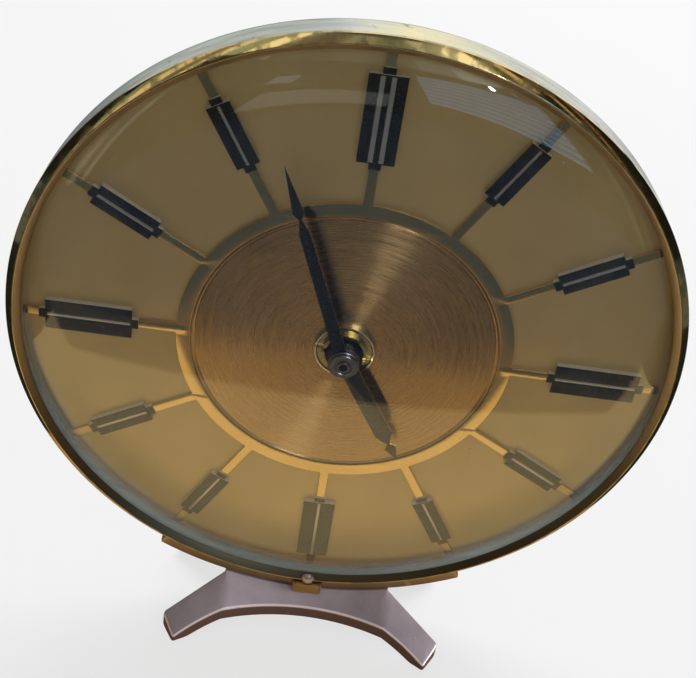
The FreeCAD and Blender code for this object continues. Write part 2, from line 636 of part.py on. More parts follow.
def make_bush():
    """Threaded centre bush, held by its flange inside the housing."""
    tube = disc(BUSH_R, BUSH_FRONT, FLOOR_BACK)
    flange = disc(BUSH_R + BUSH_FLANGE_WIDTH, FLOOR_BACK, FLOOR_BACK + BUSH_FLANGE)
    return joined([tube, flange]).cut(hole(BUSH_BORE_R))


def bay_wall(y0, y1):
    """Wall between the gears and the battery."""
    half = INNER_HALF + ROOT
    return block(-half, half, y0, y1, BAY_WALL_TOP - BAY_WALL, BAY_WALL_TOP)


def make_tray():
    """Front half of the movement's housing."""
    shell = rounded_box(BOX / 2, BOX_CORNER_R, BOX_FRONT, BOX_SPLIT)
    inside = rounded_box(INNER_HALF, BOX_CORNER_R - BOX_WALL, FLOOR_BACK, BOX_SPLIT + CUT_REACH)
    post_x = INNER_HALF - POST_INSET
    parts = [shell.cut(inside), bay_wall(FLOOR_BACK - ROOT, BOX_SPLIT)]
    for x in (-post_x, post_x):
        for z in (post_x, BAY_WALL_TOP + POST_R - ROOT):
            parts.append(disc(POST_R, FLOOR_BACK - ROOT, BOX_SPLIT, V(x, 0, z)))
    parts.append(disc(STUD_PIN_R, FLOOR_BACK - ROOT, BOX_SPLIT - LAP, MINUTE_CENTRE))
    solid = joined(parts).cut(disc(BUSH_R, 0, FLOOR_BACK + 1))
    return solid.cut(disc(KNOB_PIN_R + RUN_GAP, FLOOR_BACK - PIVOT_DEPTH, FLOOR_BACK + 1, SETTING_CENTRE))


def make_middle_plate():
    top = BAY_WALL_TOP + SEAT_GAP
    half = INNER_HALF - SEAT_GAP
    solid = block(-half, half, BOX_SPLIT, BOX_SPLIT + PLATE_WALL, top, half)
    corner = half + POST_R + SEAT_GAP
    for x in (-corner, corner):
        solid = solid.cut(hole(2 * BOX_CORNER_R, V(x, 0, corner)))
    holes = ARBORS + [(SETTING_CENTRE, KNOB_SHAFT_R), (ORIGIN, CLUTCH_R + RUN_GAP)]
    for centre, radius in holes:
        solid = solid.cut(hole(radius + RUN_GAP, centre))
    return solid


def make_rear_housing():
    """Rear half of the housing, open behind the battery."""
    shell = rounded_box(BOX / 2, BOX_CORNER_R, BOX_SPLIT, BOX_BACK)
    inside = rounded_box(INNER_HALF, BOX_CORNER_R - BOX_WALL, BOX_SPLIT - 1, REAR_WALL_FRONT)
    parts = [shell.cut(inside), bay_wall(BOX_SPLIT, BOX_BACK)]
    for x, z in board_posts():
        parts.append(disc(POST_R, BOARD_Y + BOARD_WALL, REAR_WALL_FRONT + ROOT, V(x, 0, z)))
    for x in stator_screw_xs():
        parts.append(disc(POST_R, STATOR_Y + STATOR_WALL, REAR_WALL_FRONT + ROOT, V(x, 0, COIL_Z)))
    solid = joined(parts)
    solid = solid.cut(block(-INNER_HALF, INNER_HALF, REAR_WALL_FRONT - 1, BOX_BACK + 1,
                            -INNER_HALF, BAY_WALL_TOP - BAY_WALL))
    for centre, radius in ARBORS + [(ORIGIN, ARBOR_R)]:
        solid = solid.cut(disc(radius + RUN_GAP, REAR_WALL_FRONT - 1, ARBOR_BACK + LAP, centre))
    solid = solid.cut(disc(KNOB_SHAFT_R + RUN_GAP, BOX_SPLIT, BOX_BACK + 1, SETTING_CENTRE))
    for x in stator_screw_xs():
        solid = solid.cut(disc(SCREW_R, STATOR_Y, REAR_WALL_FRONT + SLIP_GAP, V(x, 0, COIL_Z)))
    return solid


def make_motion_work():
    """Hour wheel, minute wheel, minute arbor with its pinion, and the setting wheel."""
    cannon_phase = 90.0 - MINUTE_ANGLE
    minute_phase = meshed_phase(cannon_phase, CANNON_TEETH, MINUTE_TEETH, 90.0)
    hour_phase = meshed_phase(minute_phase, MINUTE_PINION_TEETH, HOUR_TEETH, 270.0)
    setting_phase = meshed_phase(minute_phase, MINUTE_TEETH, SETTING_TEETH, SETTING_DIRECTION)
    hour_back = HOUR_WHEEL_Y + MOTION_WALL
    wheel_back = MINUTE_WHEEL_Y + MOTION_WALL

    hour = joined([
        gear(HOUR_TEETH, HOUR_MODULE, HOUR_WHEEL_Y, hour_back, ORIGIN, hour_phase),
        disc(HOUR_TUBE_R, HOUR_Y, hour_back - ROOT)])
    hour = hour.cut(hole(MINUTE_TUBE_R + RUN_GAP))

    minute = joined([
        gear(MINUTE_TEETH, MOTION_MODULE, MINUTE_WHEEL_Y, wheel_back, MINUTE_CENTRE, minute_phase),
        gear(MINUTE_PINION_TEETH, HOUR_MODULE, HOUR_WHEEL_Y - LAP, MINUTE_WHEEL_Y, MINUTE_CENTRE, minute_phase)])
    minute = minute.cut(hole(STUD_PIN_R + RUN_GAP, MINUTE_CENTRE))

    arbor = joined([
        gear(CANNON_TEETH, MOTION_MODULE, MINUTE_WHEEL_Y - LAP, wheel_back + LAP, ORIGIN, cannon_phase),
        disc(MINUTE_TUBE_R, TUBE_FRONT, MINUTE_WHEEL_Y),
        disc(CLUTCH_R, wheel_back, CENTRE_WHEEL_Y + WHEEL_WALL + ROOT)])
    arbor = arbor.cut(disc(MINUTE_BORE_R, -CUT_REACH, FLOOR_BACK)).cut(hole(ARBOR_R + RUN_GAP))

    setting = joined([
        gear(SETTING_TEETH, MOTION_MODULE, MINUTE_WHEEL_Y, wheel_back, SETTING_CENTRE, setting_phase),
        disc(KNOB_PIN_R, FLOOR_BACK - PIVOT_DEPTH + LAP, MINUTE_WHEEL_Y, SETTING_CENTRE),
        disc(KNOB_SHAFT_R, wheel_back, KNOB_FRONT, SETTING_CENTRE),
        make_knob_head()])
    return hour, minute, arbor, setting


def make_knob_head():
    head = disc(KNOB_R, KNOB_FRONT, KNOB_BACK, SETTING_CENTRE)
    for k in range(KNOB_FLUTES):
        at = SETTING_CENTRE + polar(KNOB_R + SEAT_GAP, k * 360 / KNOB_FLUTES)
        head = head.cut(disc(KNOB_FLUTE_R, KNOB_FRONT + CUP_DEPTH_ROOM, KNOB_BACK + 1, at))
    return head


def make_train():
    """Rotor, intermediate, seconds, third and centre wheels, all in mesh."""
    seconds_phase = 0.0
    third_phase = meshed_phase(seconds_phase, SECONDS_PINION_TEETH, THIRD_TEETH, THIRD_DIRECTION)
    centre_phase = meshed_phase(third_phase, THIRD_PINION_TEETH, CENTRE_TEETH, THIRD_DIRECTION + 180)
    inter_phase = meshed_phase(seconds_phase, SECONDS_TEETH, INTER_PINION_TEETH, INTER_DIRECTION)
    rotor_phase = meshed_phase(inter_phase, INTER_TEETH, ROTOR_TEETH, ROTOR_DIRECTION)

    def wheel(teeth, module, y0, centre, phase):
        return gear(teeth, module, y0, y0 + WHEEL_WALL, centre, phase)

    centre = wheel(CENTRE_TEETH, CENTRE_MODULE, CENTRE_WHEEL_Y, ORIGIN, centre_phase)
    centre = centre.cut(hole(CLUTCH_R + RUN_GAP))

    third = joined([
        disc(ARBOR_R, ARBOR_FRONT, ARBOR_BACK, THIRD_CENTRE),
        gear(THIRD_PINION_TEETH, CENTRE_MODULE, CENTRE_WHEEL_Y - LAP, THIRD_WHEEL_Y, THIRD_CENTRE, third_phase),
        wheel(THIRD_TEETH, THIRD_MODULE, THIRD_WHEEL_Y, THIRD_CENTRE, third_phase)])

    seconds = joined([
        disc(ARBOR_R, TUBE_FRONT + SECONDS_RECESS, ARBOR_BACK, ORIGIN),
        gear(SECONDS_PINION_TEETH, THIRD_MODULE, THIRD_WHEEL_Y - LAP, SECONDS_WHEEL_Y, ORIGIN, seconds_phase),
        wheel(SECONDS_TEETH, INTER_MODULE, SECONDS_WHEEL_Y, ORIGIN, seconds_phase)])

    inter = joined([
        disc(ARBOR_R, ARBOR_FRONT, ARBOR_BACK, INTER_CENTRE),
        gear(INTER_PINION_TEETH, INTER_MODULE, SECONDS_WHEEL_Y - LAP, INTER_WHEEL_Y, INTER_CENTRE, inter_phase),
        wheel(INTER_TEETH, ROTOR_MODULE, INTER_WHEEL_Y, INTER_CENTRE, inter_phase)])

    rotor = joined([
        disc(PIVOT_R, ARBOR_FRONT, ARBOR_BACK, ROTOR_CENTRE),
        gear(ROTOR_TEETH, ROTOR_MODULE, INTER_WHEEL_Y - LAP, MAGNET_Y, ROTOR_CENTRE, rotor_phase),
        disc(MAGNET_R, MAGNET_Y, MAGNET_Y + MAGNET_WALL, ROTOR_CENTRE)])
    return centre, third, seconds, inter, rotor


def make_clutch_spring():
    """Thin spring washer that presses the centre wheel against the minute arbor."""
    y0 = CENTRE_WHEEL_Y + WHEEL_WALL + SEAT_GAP
    return ring(CLUTCH_SPRING_R, CLUTCH_R, y0, y0 + CLUTCH_SPRING_WALL)


# ---------------------------------------------------------------- motor and electronics
def stator_screw_xs():
    return (STATOR_LEFT + ARM_WIDTH / 2, STATOR_RIGHT - ARM_WIDTH / 2)


def board_posts():
    left, right = BOARD_LEFT + POST_R, BOARD_RIGHT - POST_R
    high, low = BOARD_HIGH - POST_R, BOARD_LOW + POST_R
    return ((left, high), (right, high), (right, low))


def stator_height():
    return ROTOR_CENTRE.z - STATOR_HALF, ROTOR_CENTRE.z + STATOR_HALF


def cut_screw_holes(solid):
    for x in stator_screw_xs():
        solid = solid.cut(hole(SCREW_R, V(x, 0, COIL_Z)))
    return solid


def make_stator():
    y0, y1 = STATOR_Y, STATOR_Y + STATOR_WALL
    low, high = stator_height()
    top = COIL_Z + CORE_WIDTH / 2
    solid = joined([
        block(STATOR_LEFT, STATOR_RIGHT, y0, y1, low, high),
        block(STATOR_LEFT, STATOR_LEFT + ARM_WIDTH, y0, y1, high, top),
        block(STATOR_RIGHT - ARM_WIDTH, STATOR_RIGHT, y0, y1, high, top)])
    solid = solid.cut(hole(MAGNET_R + MAGNET_ROOM, ROTOR_CENTRE))
    return cut_screw_holes(solid.cut(hole(ARBOR_R + SLIP_GAP, INTER_CENTRE)))


def make_core():
    half = CORE_WIDTH / 2
    return cut_screw_holes(block(STATOR_LEFT, STATOR_RIGHT, CORE_Y, STATOR_Y, COIL_Z - half, COIL_Z + half))


def coil_span():
    return STATOR_LEFT + ARM_WIDTH + COIL_MARGIN, STATOR_RIGHT - ARM_WIDTH - COIL_MARGIN


def core_sleeve(x0, x1, grow):
    """Block around the core, larger than it by grow on every side."""
    half = CORE_WIDTH / 2 + grow
    return block(x0, x1, CORE_Y - grow, STATOR_Y + grow, COIL_Z - half, COIL_Z + half)


def coil_block(x0, x1, shrink, rise):
    """Block around the coil's axis, as deep as the coil and as high as the core plus rise."""
    mid_y = CORE_Y + STATOR_WALL / 2
    half_y = COIL_R - shrink
    half_z = CORE_WIDTH / 2 + rise
    return block(x0, x1, mid_y - half_y, mid_y + half_y, COIL_Z - half_z, COIL_Z + half_z)


def make_bobbin():
    x0, x1 = coil_span()
    flanges = [coil_block(x, x + BOBBIN_WALL, 0, FLANGE_RISE) for x in (x0, x1 - BOBBIN_WALL)]
    return joined([core_sleeve(x0, x1, BOBBIN_WALL)] + flanges).cut(core_sleeve(x0 - 1, x1 + 1, 0))


def make_winding():
    x0, x1 = coil_span()
    a, b = x0 + BOBBIN_WALL, x1 - BOBBIN_WALL
    outer = coil_block(a, b, SEAT_GAP, WINDING_RISE)
    long_edges = [e for e in outer.Edges if abs(e.Vertexes[0].X - e.Vertexes[-1].X) > (b - a) / 2]
    outer = outer.makeFillet(COIL_R / 2, long_edges)
    return outer.cut(core_sleeve(a - 1, b + 1, BOBBIN_WALL))


def make_stator_screws():
    solids = []
    for x in stator_screw_xs():
        at = V(x, 0, COIL_Z)
        shank = disc(SCREW_R, CORE_Y, REAR_WALL_FRONT, at)
        head = disc(SCREW_HEAD_R, CORE_Y - SCREW_HEAD, CORE_Y, at)
        slot_y = CORE_Y - SCREW_HEAD
        slot = block(x - SCREW_R * 4, x + SCREW_R * 4, slot_y - 1, slot_y + SCREW_HEAD / 3,
                     COIL_Z - SCREW_R / 4, COIL_Z + SCREW_R / 4)
        solids.append(joined([shank, head]).cut(slot))
    return solids


def make_board():
    solid = block(BOARD_LEFT, BOARD_RIGHT, BOARD_Y, BOARD_Y + BOARD_WALL, BOARD_LOW, BOARD_HIGH)
    solid = solid.cut(hole(ARBOR_R + SLIP_GAP, THIRD_CENTRE))
    return solid.cut(hole(KNOB_SHAFT_R + SLIP_GAP, SETTING_CENTRE))


def make_chip():
    """Low round drop of resin over the control chip."""
    at = V(CHIP_X, 0, CHIP_Z)
    ball = Part.makeSphere(CHIP_BALL_R, V(CHIP_X, BOARD_Y + CHIP_BALL_R - CHIP_RISE, CHIP_Z))
    return ball.common(disc(CHIP_BALL_R, BOARD_Y - 2 * CHIP_RISE, BOARD_Y, at))


def make_crystal():
    return Part.makeCylinder(CRYSTAL_R, CRYSTAL_LENGTH, V(CRYSTAL_X, BOARD_Y - CRYSTAL_R, CRYSTAL_Z), V(1, 0, 0))


def make_cell():
    half = CELL_LENGTH / 2
    body = Part.makeCylinder(CELL_R, CELL_LENGTH, V(-half, CELL_Y, CELL_Z), V(1, 0, 0))
    nub = Part.makeCylinder(CELL_NUB_R, CELL_NUB, V(half, CELL_Y, CELL_Z), V(1, 0, 0))
    return joined([body, nub])


def make_contacts():
    """Flat tongue at the positive end and a coil-like cone spring at the negative end."""
    y0, y1 = CELL_Y - CONTACT_HALF_WIDTH, CELL_Y + CONTACT_HALF_WIDTH
    low, high = CELL_Z - CONTACT_HALF_HEIGHT, CELL_Z + CONTACT_HALF_HEIGHT
    plus = block(CELL_LENGTH / 2 + CELL_NUB, INNER_HALF, y0, y1, low, high)
    minus = block(-INNER_HALF, CONTACT_WALL - INNER_HALF, y0, y1, low, high)
    root = V(CONTACT_WALL - INNER_HALF, CELL_Y, CELL_Z)
    reach = INNER_HALF - CONTACT_WALL - CELL_LENGTH / 2
    cone = Part.makeCone(CONE_R, CONE_TIP_R, reach, root, V(1, 0, 0))
    bore = Part.makeCylinder(CONE_BORE_R, CUT_REACH, root, V(1, 0, 0))
    return plus, joined([minus, cone.cut(bore)])


# ================================================================ rear cover and battery door
def make_cup():
    """Round rear cover with its flange, a hole for the knob and an opening for the battery."""
    inner = CUP_R - CUP_WALL
    turn = CUP_EDGE_R * (1 - math.sqrt(0.5))
    flange_back = CASE_BACK + CUP_FLANGE
    floor = CUP_BACK - CUP_WALL
    inner_edge_r = CUP_EDGE_R - CUP_WALL
    inner_turn = inner_edge_r * (1 - math.sqrt(0.5))
    solid = spun([
        (inner, CASE_BACK), (CUP_R + CUP_FLANGE_WIDTH, CASE_BACK), (CUP_R + CUP_FLANGE_WIDTH, flange_back),
        (CUP_R, flange_back), (CUP_R, CUP_BACK - CUP_EDGE_R),
        ((CUP_R - turn, CUP_BACK - turn), (CUP_R - CUP_EDGE_R, CUP_BACK)),
        (0, CUP_BACK), (0, floor), (inner - inner_edge_r, floor),
        ((inner - inner_turn, floor - inner_turn), (inner, floor - inner_edge_r))])
    solid = solid.cut(disc(KNOB_HOLE_R, CASE_BACK, CUP_BACK + 1, SETTING_CENTRE))
    solid = solid.cut(block(-DOOR_WIDTH / 2, DOOR_WIDTH / 2, floor - 1, CUP_BACK + 1, DOOR_LOW, DOOR_HIGH))
    half = KNUCKLE_WIDTH / 2 - RUN_GAP
    for side in (-1, 1):
        middle = side * KNUCKLE_WIDTH
        solid = solid.fuse(knuckle(middle - half, middle + half, -1))
    solid = solid.removeSplitter().cut(hinge_pin(0))
    for p in cup_screw_points():
        solid = solid.cut(hole(CUP_SCREW_R, p))
    return solid


def hinge_axis():
    """The battery door turns about this line, just behind the cover's lower edge of the opening."""
    return CUP_BACK + KNUCKLE_R + RUN_GAP, DOOR_LOW


def hinge_pin(grow):
    y, z = hinge_axis()
    half = 1.5 * KNUCKLE_WIDTH
    return Part.makeCylinder(DOOR_PIN_R + grow, 2 * half, V(-half, y, z), V(1, 0, 0))


def knuckle(x0, x1, side):
    """Hinge barrel with a web to the cover (side -1) or to the door (side +1)."""
    y, z = hinge_axis()
    barrel = Part.makeCylinder(KNUCKLE_R, x1 - x0, V(x0, y, z), V(1, 0, 0))
    z0, z1 = (z - KNUCKLE_WEB, z) if side < 0 else (z, z + KNUCKLE_WEB)
    web = block(x0, x1, CUP_BACK if side < 0 else CUP_BACK - RUN_GAP, y, z0, z1)
    return barrel.fuse(web)


def make_door():
    """Flat battery door, flush in the cover, with one barrel and a finger grip."""
    gap = SLIP_GAP
    solid = block(gap - DOOR_WIDTH / 2, DOOR_WIDTH / 2 - gap, CUP_BACK - CUP_WALL + 2 * SEAT_GAP, CUP_BACK,
                  DOOR_LOW + gap, DOOR_HIGH - gap)
    half = (KNUCKLE_WIDTH - gap) / 2
    solid = solid.fuse(knuckle(-half, half, 1)).removeSplitter()
    solid = solid.cut(hinge_pin(RUN_GAP))
    for k in range(GRIP_COUNT):
        z = DOOR_HIGH - (k + 2) * GRIP_PITCH
        solid = solid.cut(Part.makeCylinder(GRIP_R, GRIP_LENGTH, V(-GRIP_LENGTH / 2, CUP_BACK, z), V(1, 0, 0)))
    return solid


def make_cup_screws():
    solids = []
    flange_back = CASE_BACK + CUP_FLANGE
    for p in cup_screw_points():
        shank = disc(CUP_SCREW_R, CASE_BACK - CASE_WALL, flange_back, p)
        head = disc(CUP_SCREW_HEAD_R, flange_back, flange_back + CUP_SCREW_HEAD, p)
        slot = block(p.x - CUP_SCREW_HEAD_R - 1, p.x + CUP_SCREW_HEAD_R + 1,
                     flange_back + CUP_SCREW_HEAD / 2, CUT_REACH,
                     p.z - CUP_SCREW_R / 4, p.z + CUP_SCREW_R / 4)
        solids.append(joined([shank, head]).cut(slot))
    return solids


# ================================================================ cradle, clip and foot
def make_cradle():
    """Curved brass bar under the drum."""
    solid = ring(CRADLE_R, CASE_R, CRADLE_FRONT, CRADLE_BACK)
    reach = 2 * CRADLE_R
    left = polar(reach, 270 - CRADLE_HALF_ANGLE)
    right = polar(reach, 270 + CRADLE_HALF_ANGLE)
    wedge = plate([(0, 0), (left.x, left.z), (right.x, right.z)], -CUT_REACH, CUT_REACH)
    solid = solid.common(wedge)
    for side in (-1, 1):
        solid = solid.cut(cradle_screw(side, False))
        solid = solid.cut(foot_screw_shank(side))
    return solid


def make_clip():
    """Brass clip, carried by the cradle, that hooks over the lip from below."""
    front = LIP_CREST_Y - CLIP_STAND
    low = CLIP_EDGE - CRADLE_R
    base = block(-CLIP_HALF_WIDTH, CLIP_HALF_WIDTH, front, CRADLE_FRONT, low, -LIP_R - SEAT_GAP)
    edges = [e for e in base.Edges if abs(e.Vertexes[0].Z - e.Vertexes[-1].Z) > 1
             and e.Vertexes[0].Y < front + 0.1]
    base = base.makeFillet(CLIP_WALL, edges)
    half = CLIP_HALF_WIDTH - CLIP_WALL
    hook = block(-half, half, front, front + CLIP_WALL, low, -LIP_R + CLIP_LAP)
    return joined([base, hook])


def make_stud():
    """Domed stud in the lip, by which the bezel is lifted out of its clip."""
    ball_r = (STUD_R ** 2 + STUD_RISE ** 2) / (2 * STUD_RISE)
    at = stud_centre()
    ball = Part.makeSphere(ball_r, V(at.x, LIP_CREST_Y - STUD_RISE + ball_r, at.z))
    dome = ball.common(disc(2 * ball_r, LIP_CREST_Y - STUD_RISE - 1, LIP_CREST_Y, at))
    return joined([dome, disc(STUD_SHANK_R, LIP_CREST_Y, LIP_CREST_Y + STUD_DEPTH, at)])


def foot_band():
    """Cross-section of the foot's sheet over its centre line: an arc under the cradle, then
    shoulders that fall slowly to both sides."""
    def at(x, drop):
        inside = min(abs(x), FOOT_SHOULDER_X)
        fall = FOOT_SIDE_FALL * max(0.0, abs(x) - FOOT_SHOULDER_X)
        return V(x, FOOT_CENTRE_Y, FOOT_OVERLAP - math.sqrt(CRADLE_R ** 2 - inside ** 2) - fall - drop)

    s, end = FOOT_SHOULDER_X, FOOT_OUTER_X + FOOT_BLANK_MARGIN
    low = FOOT_WALL
    return Part.Face(outline([
        at(-end, 0), at(-s, 0), (at(0, 0), at(s, 0)), at(end, 0),
        at(end, low), at(s, low), (at(0, low), at(-s, low)), at(-end, low)]))


def make_foot_blank():
    """Thick sheet: level under the cradle, then falling evenly to the front and to the back."""
    middle = foot_band()
    middle.translate(V(0, -FOOT_FLAT, 0))
    reach = FOOT_TIP_Y + FOOT_BLANK_MARGIN - FOOT_FLAT
    front = middle.extrude(V(0, -reach, -FOOT_SLOPE * reach))
    level = middle.extrude(V(0, 2 * FOOT_FLAT, 0))
    middle.translate(V(0, 2 * FOOT_FLAT, 0))
    back = middle.extrude(V(0, reach, -FOOT_SLOPE * reach))
    return joined([level, front, back])


def foot_plan(z0, z1):
    """Plan of the foot: four splayed legs, with an arch in front and behind."""
    def at(x, y):
        return V(x, FOOT_CENTRE_Y + y, z0)

    def arch(side):
        return (at(0, side * FOOT_ARCH_Y), at(-side * FOOT_TIP_X, side * FOOT_TIP_Y))

    wire = outline([
        at(-FOOT_TIP_X, -FOOT_TIP_Y), (at(0, -FOOT_ARCH_Y), at(FOOT_TIP_X, -FOOT_TIP_Y)),
        at(FOOT_OUTER_X, -FOOT_OUTER_Y), at(FOOT_WAIST_X, -FOOT_WAIST_Y),
        at(FOOT_WAIST_X, FOOT_WAIST_Y), at(FOOT_OUTER_X, FOOT_OUTER_Y),
        at(FOOT_TIP_X, FOOT_TIP_Y), arch(1),
        at(-FOOT_OUTER_X, FOOT_OUTER_Y), at(-FOOT_WAIST_X, FOOT_WAIST_Y),
        at(-FOOT_WAIST_X, -FOOT_WAIST_Y), at(-FOOT_OUTER_X, -FOOT_OUTER_Y)])
    solid = Part.Face(wire).extrude(V(0, 0, z1 - z0))
    upright = [e for e in solid.Edges if abs(e.Vertexes[0].Z - e.Vertexes[-1].Z) > (z1 - z0) / 2]
    corners = [e for e in upright if abs(e.Vertexes[0].X) > FOOT_WAIST_X + 1]
    return solid.makeFillet(FOOT_CORNER_R, corners)


def foot_screw_low(side):
    """Lowest point of the screw at this side, before its head is cut to length."""
    return V(side * FOOT_SCREW_X, (CRADLE_FRONT + CRADLE_BACK) / 2, -CRADLE_R - FOOT_WALL - 1)


def foot_screw_shank(side):
    length = FOOT_WALL + 1 + FOOT_SCREW_DEPTH
    return Part.makeCylinder(FOOT_SCREW_R, length, foot_screw_low(side), V(0, 0, 1))


def foot_screw_head(side, clear):
    """Cheese head, sunk from below into the foot."""
    return Part.makeCylinder(FOOT_SCREW_HEAD_R + clear, FOOT_SCREW_HEAD + 1.4, foot_screw_low(side), V(0, 0, 1))


def make_foot():
    solid = make_foot_blank().common(foot_plan(-AXIS_HEIGHT, -CRADLE_R + FOOT_STAND))
    solid = solid.cut(disc(CRADLE_R, -2 * CUT_REACH, 2 * CUT_REACH))
    for side in (-1, 1):
        solid = solid.cut(foot_screw_shank(side)).cut(foot_screw_head(side, SEAT_GAP))
    return solid


def make_foot_screws():
    solids = []
    for side in (-1, 1):
        solid = joined([foot_screw_shank(side), foot_screw_head(side, 0)])
        low = foot_screw_low(side)
        half = FOOT_SCREW_HEAD_R / 7
        slot = block(low.x - 4, low.x + 4, low.y - half, low.y + half, low.z - 1, low.z + FOOT_SCREW_HEAD / 2)
        solids.append(solid.cut(slot))
    return solids


# ================================================================ the assembly
def build():
    os.makedirs("parts", exist_ok=True)
    save("case_shell", make_case())
    save("bezel", make_bezel())
    save("glass", make_glass())
    save("glass_seat_ring", ring(GLASS_R, GLASS_R - SEAT_RING_WIDTH, GLASS_RIM_Y, 0))
    save("dial_plate", ring(DIAL_R, DIAL_HOLE_R, 0, DIAL_WALL))
    save("dial_spacer_ring", ring(DIAL_R, DIAL_R - SPACER_WALL, DIAL_WALL, CASE_BACK - CASE_WALL))
    save("centre_disc", ring(DISC_R, DIAL_HOLE_R, -DISC_WALL, 0))
    save("hour_ring", make_spider())
    save("marker_twelve", make_marker(0))
    save("long_markers", [make_marker(hour) for hour in (3, 6, 9)])
    save("short_markers", [make_marker(hour) for hour in range(12) if not is_long(hour)])

    save("fixing_nut", make_fixing_nut())
    save("centre_bush", make_bush())
    save("rubber_washer", ring(BUSH_R + WASHER_WIDTH, BUSH_R + SEAT_GAP, DIAL_WALL, BOX_FRONT))
    save("minute_hand", make_minute_hand())
    save("hour_hand", make_hour_hand())
    save("hand_washers", make_hand_washers())
    save("hand_nut", make_hand_nut())

    hour, minute, arbor, setting = make_motion_work()
    save("hour_wheel", hour)
    save("minute_wheel", minute)
    save("minute_arbor", arbor)
    save("setting_knob", setting)
    centre, third, seconds, inter, rotor = make_train()
    save("centre_wheel", centre)
    save("third_wheel", third)
    save("seconds_wheel", seconds)
    save("intermediate_wheel", inter)
    save("rotor", rotor)
    save("clutch_spring", make_clutch_spring())

    save("movement_front", make_tray())
    save("movement_plate", make_middle_plate())
    save("movement_rear", make_rear_housing())
    save("stator", make_stator())
    save("coil_core", make_core())
    save("coil_bobbin", make_bobbin())
    save("coil_winding", make_winding())
    save("stator_screws", make_stator_screws())
    save("circuit_board", make_board())
    save("control_chip", make_chip())
    save("quartz_crystal", make_crystal())
    save("battery", make_cell())
    plus, minus = make_contacts()
    save("battery_contact_plus", plus)
    save("battery_contact_minus", minus)

    save("rear_cover", make_cup())
    save("rear_cover_screws", make_cup_screws())
    save("battery_door", make_door())
    save("battery_door_pin", hinge_pin(0))

    save("cradle", make_cradle())
    save("cradle_screws", [cradle_screw(side, True) for side in (-1, 1)])
    save("bezel_clip", make_clip())
    save("bezel_stud", make_stud())
    save("foot", make_foot())
    save("foot_screws", make_foot_screws())


build()
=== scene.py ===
import bpy
import bmesh
import json
import math
import numpy as np
from mathutils import Matrix, Vector
from mathutils.geometry import tessellate_polygon


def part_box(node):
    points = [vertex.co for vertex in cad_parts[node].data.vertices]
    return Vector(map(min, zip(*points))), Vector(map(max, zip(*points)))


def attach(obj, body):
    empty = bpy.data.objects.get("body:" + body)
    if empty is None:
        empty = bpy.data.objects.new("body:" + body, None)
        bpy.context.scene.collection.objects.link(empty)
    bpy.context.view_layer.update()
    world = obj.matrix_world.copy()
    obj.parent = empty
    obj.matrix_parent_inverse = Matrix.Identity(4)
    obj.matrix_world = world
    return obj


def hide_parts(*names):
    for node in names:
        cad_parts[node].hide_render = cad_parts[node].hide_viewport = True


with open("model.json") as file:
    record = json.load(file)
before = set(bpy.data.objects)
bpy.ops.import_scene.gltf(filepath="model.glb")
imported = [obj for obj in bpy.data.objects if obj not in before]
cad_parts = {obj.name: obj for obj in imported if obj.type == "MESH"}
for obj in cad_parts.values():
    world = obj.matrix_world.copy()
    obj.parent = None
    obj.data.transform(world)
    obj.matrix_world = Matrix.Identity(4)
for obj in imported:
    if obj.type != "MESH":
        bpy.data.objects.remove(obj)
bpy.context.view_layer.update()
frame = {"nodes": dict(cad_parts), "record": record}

# Round table clock. Lengths are metres; MM turns a size in millimetres into metres. Places on the
# dial are given as (right, up) from its centre and as y from its front face, towards the back.
MM = 0.001
TURN = 2 * math.pi


# ================================================================ sizes taken from the frame
def node_radius(node):
    low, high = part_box(node)
    return (high.x - low.x) / 2


RECORD = frame["record"]
SLOT_OF = {part["node"]: part["material_slot"] for part in RECORD["subparts"]}
BODY_OF = {node: body for body, nodes in RECORD["behaviour"]["bodies"].items() for node in nodes}
DIAL_LOW, DIAL_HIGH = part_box("dial_plate")
AXIS_X = (DIAL_LOW.x + DIAL_HIGH.x) / 2
AXIS_Z = (DIAL_LOW.z + DIAL_HIGH.z) / 2
FACE_Y = DIAL_LOW.y


def span_of(node):
    """y of the node's foremost and rearmost points, from the dial's face."""
    low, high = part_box(node)
    return low.y - FACE_Y, high.y - FACE_Y


def front_of(node):
    return span_of(node)[0]


DIAL_R = node_radius("dial_plate")
LIP_R = node_radius("bezel")
CASE_R = node_radius("case_shell")
GLASS_R = node_radius("glass")
DISC_R = node_radius("centre_disc")

# ---------------------------------------------------------------- bezel, case and glass
LIP_WIDTH = 3.6 * MM
LIP_CREST_INSET = 1.9 * MM
LIP_ROOT_Y, LIP_INNER_Y, LIP_OUTER_Y = -3.0 * MM, -3.45 * MM, -3.4 * MM
SKIRT_WALL, SKIRT_GAP = 0.55 * MM, 0.05 * MM
CASE_WALL, CASE_EDGE_R = 1.0 * MM, 1.2 * MM
CASE_HOLE_R = 40.8 * MM
BRASS_PATCH_ANGLE = math.radians(11)         # of the drum's worn patch, clockwise from the top
GLASS_WALL = 1.6 * MM
GLASS_EDGE_WIDTH = 15.0 * MM
GLASS_CENTRE_RISE = 3.0 * MM
GLASS_EDGE_CURVE_R = 25.0 * MM
GLASS_EDGE_Y, GLASS_RIM_Y = -1.95 * MM, -0.95 * MM

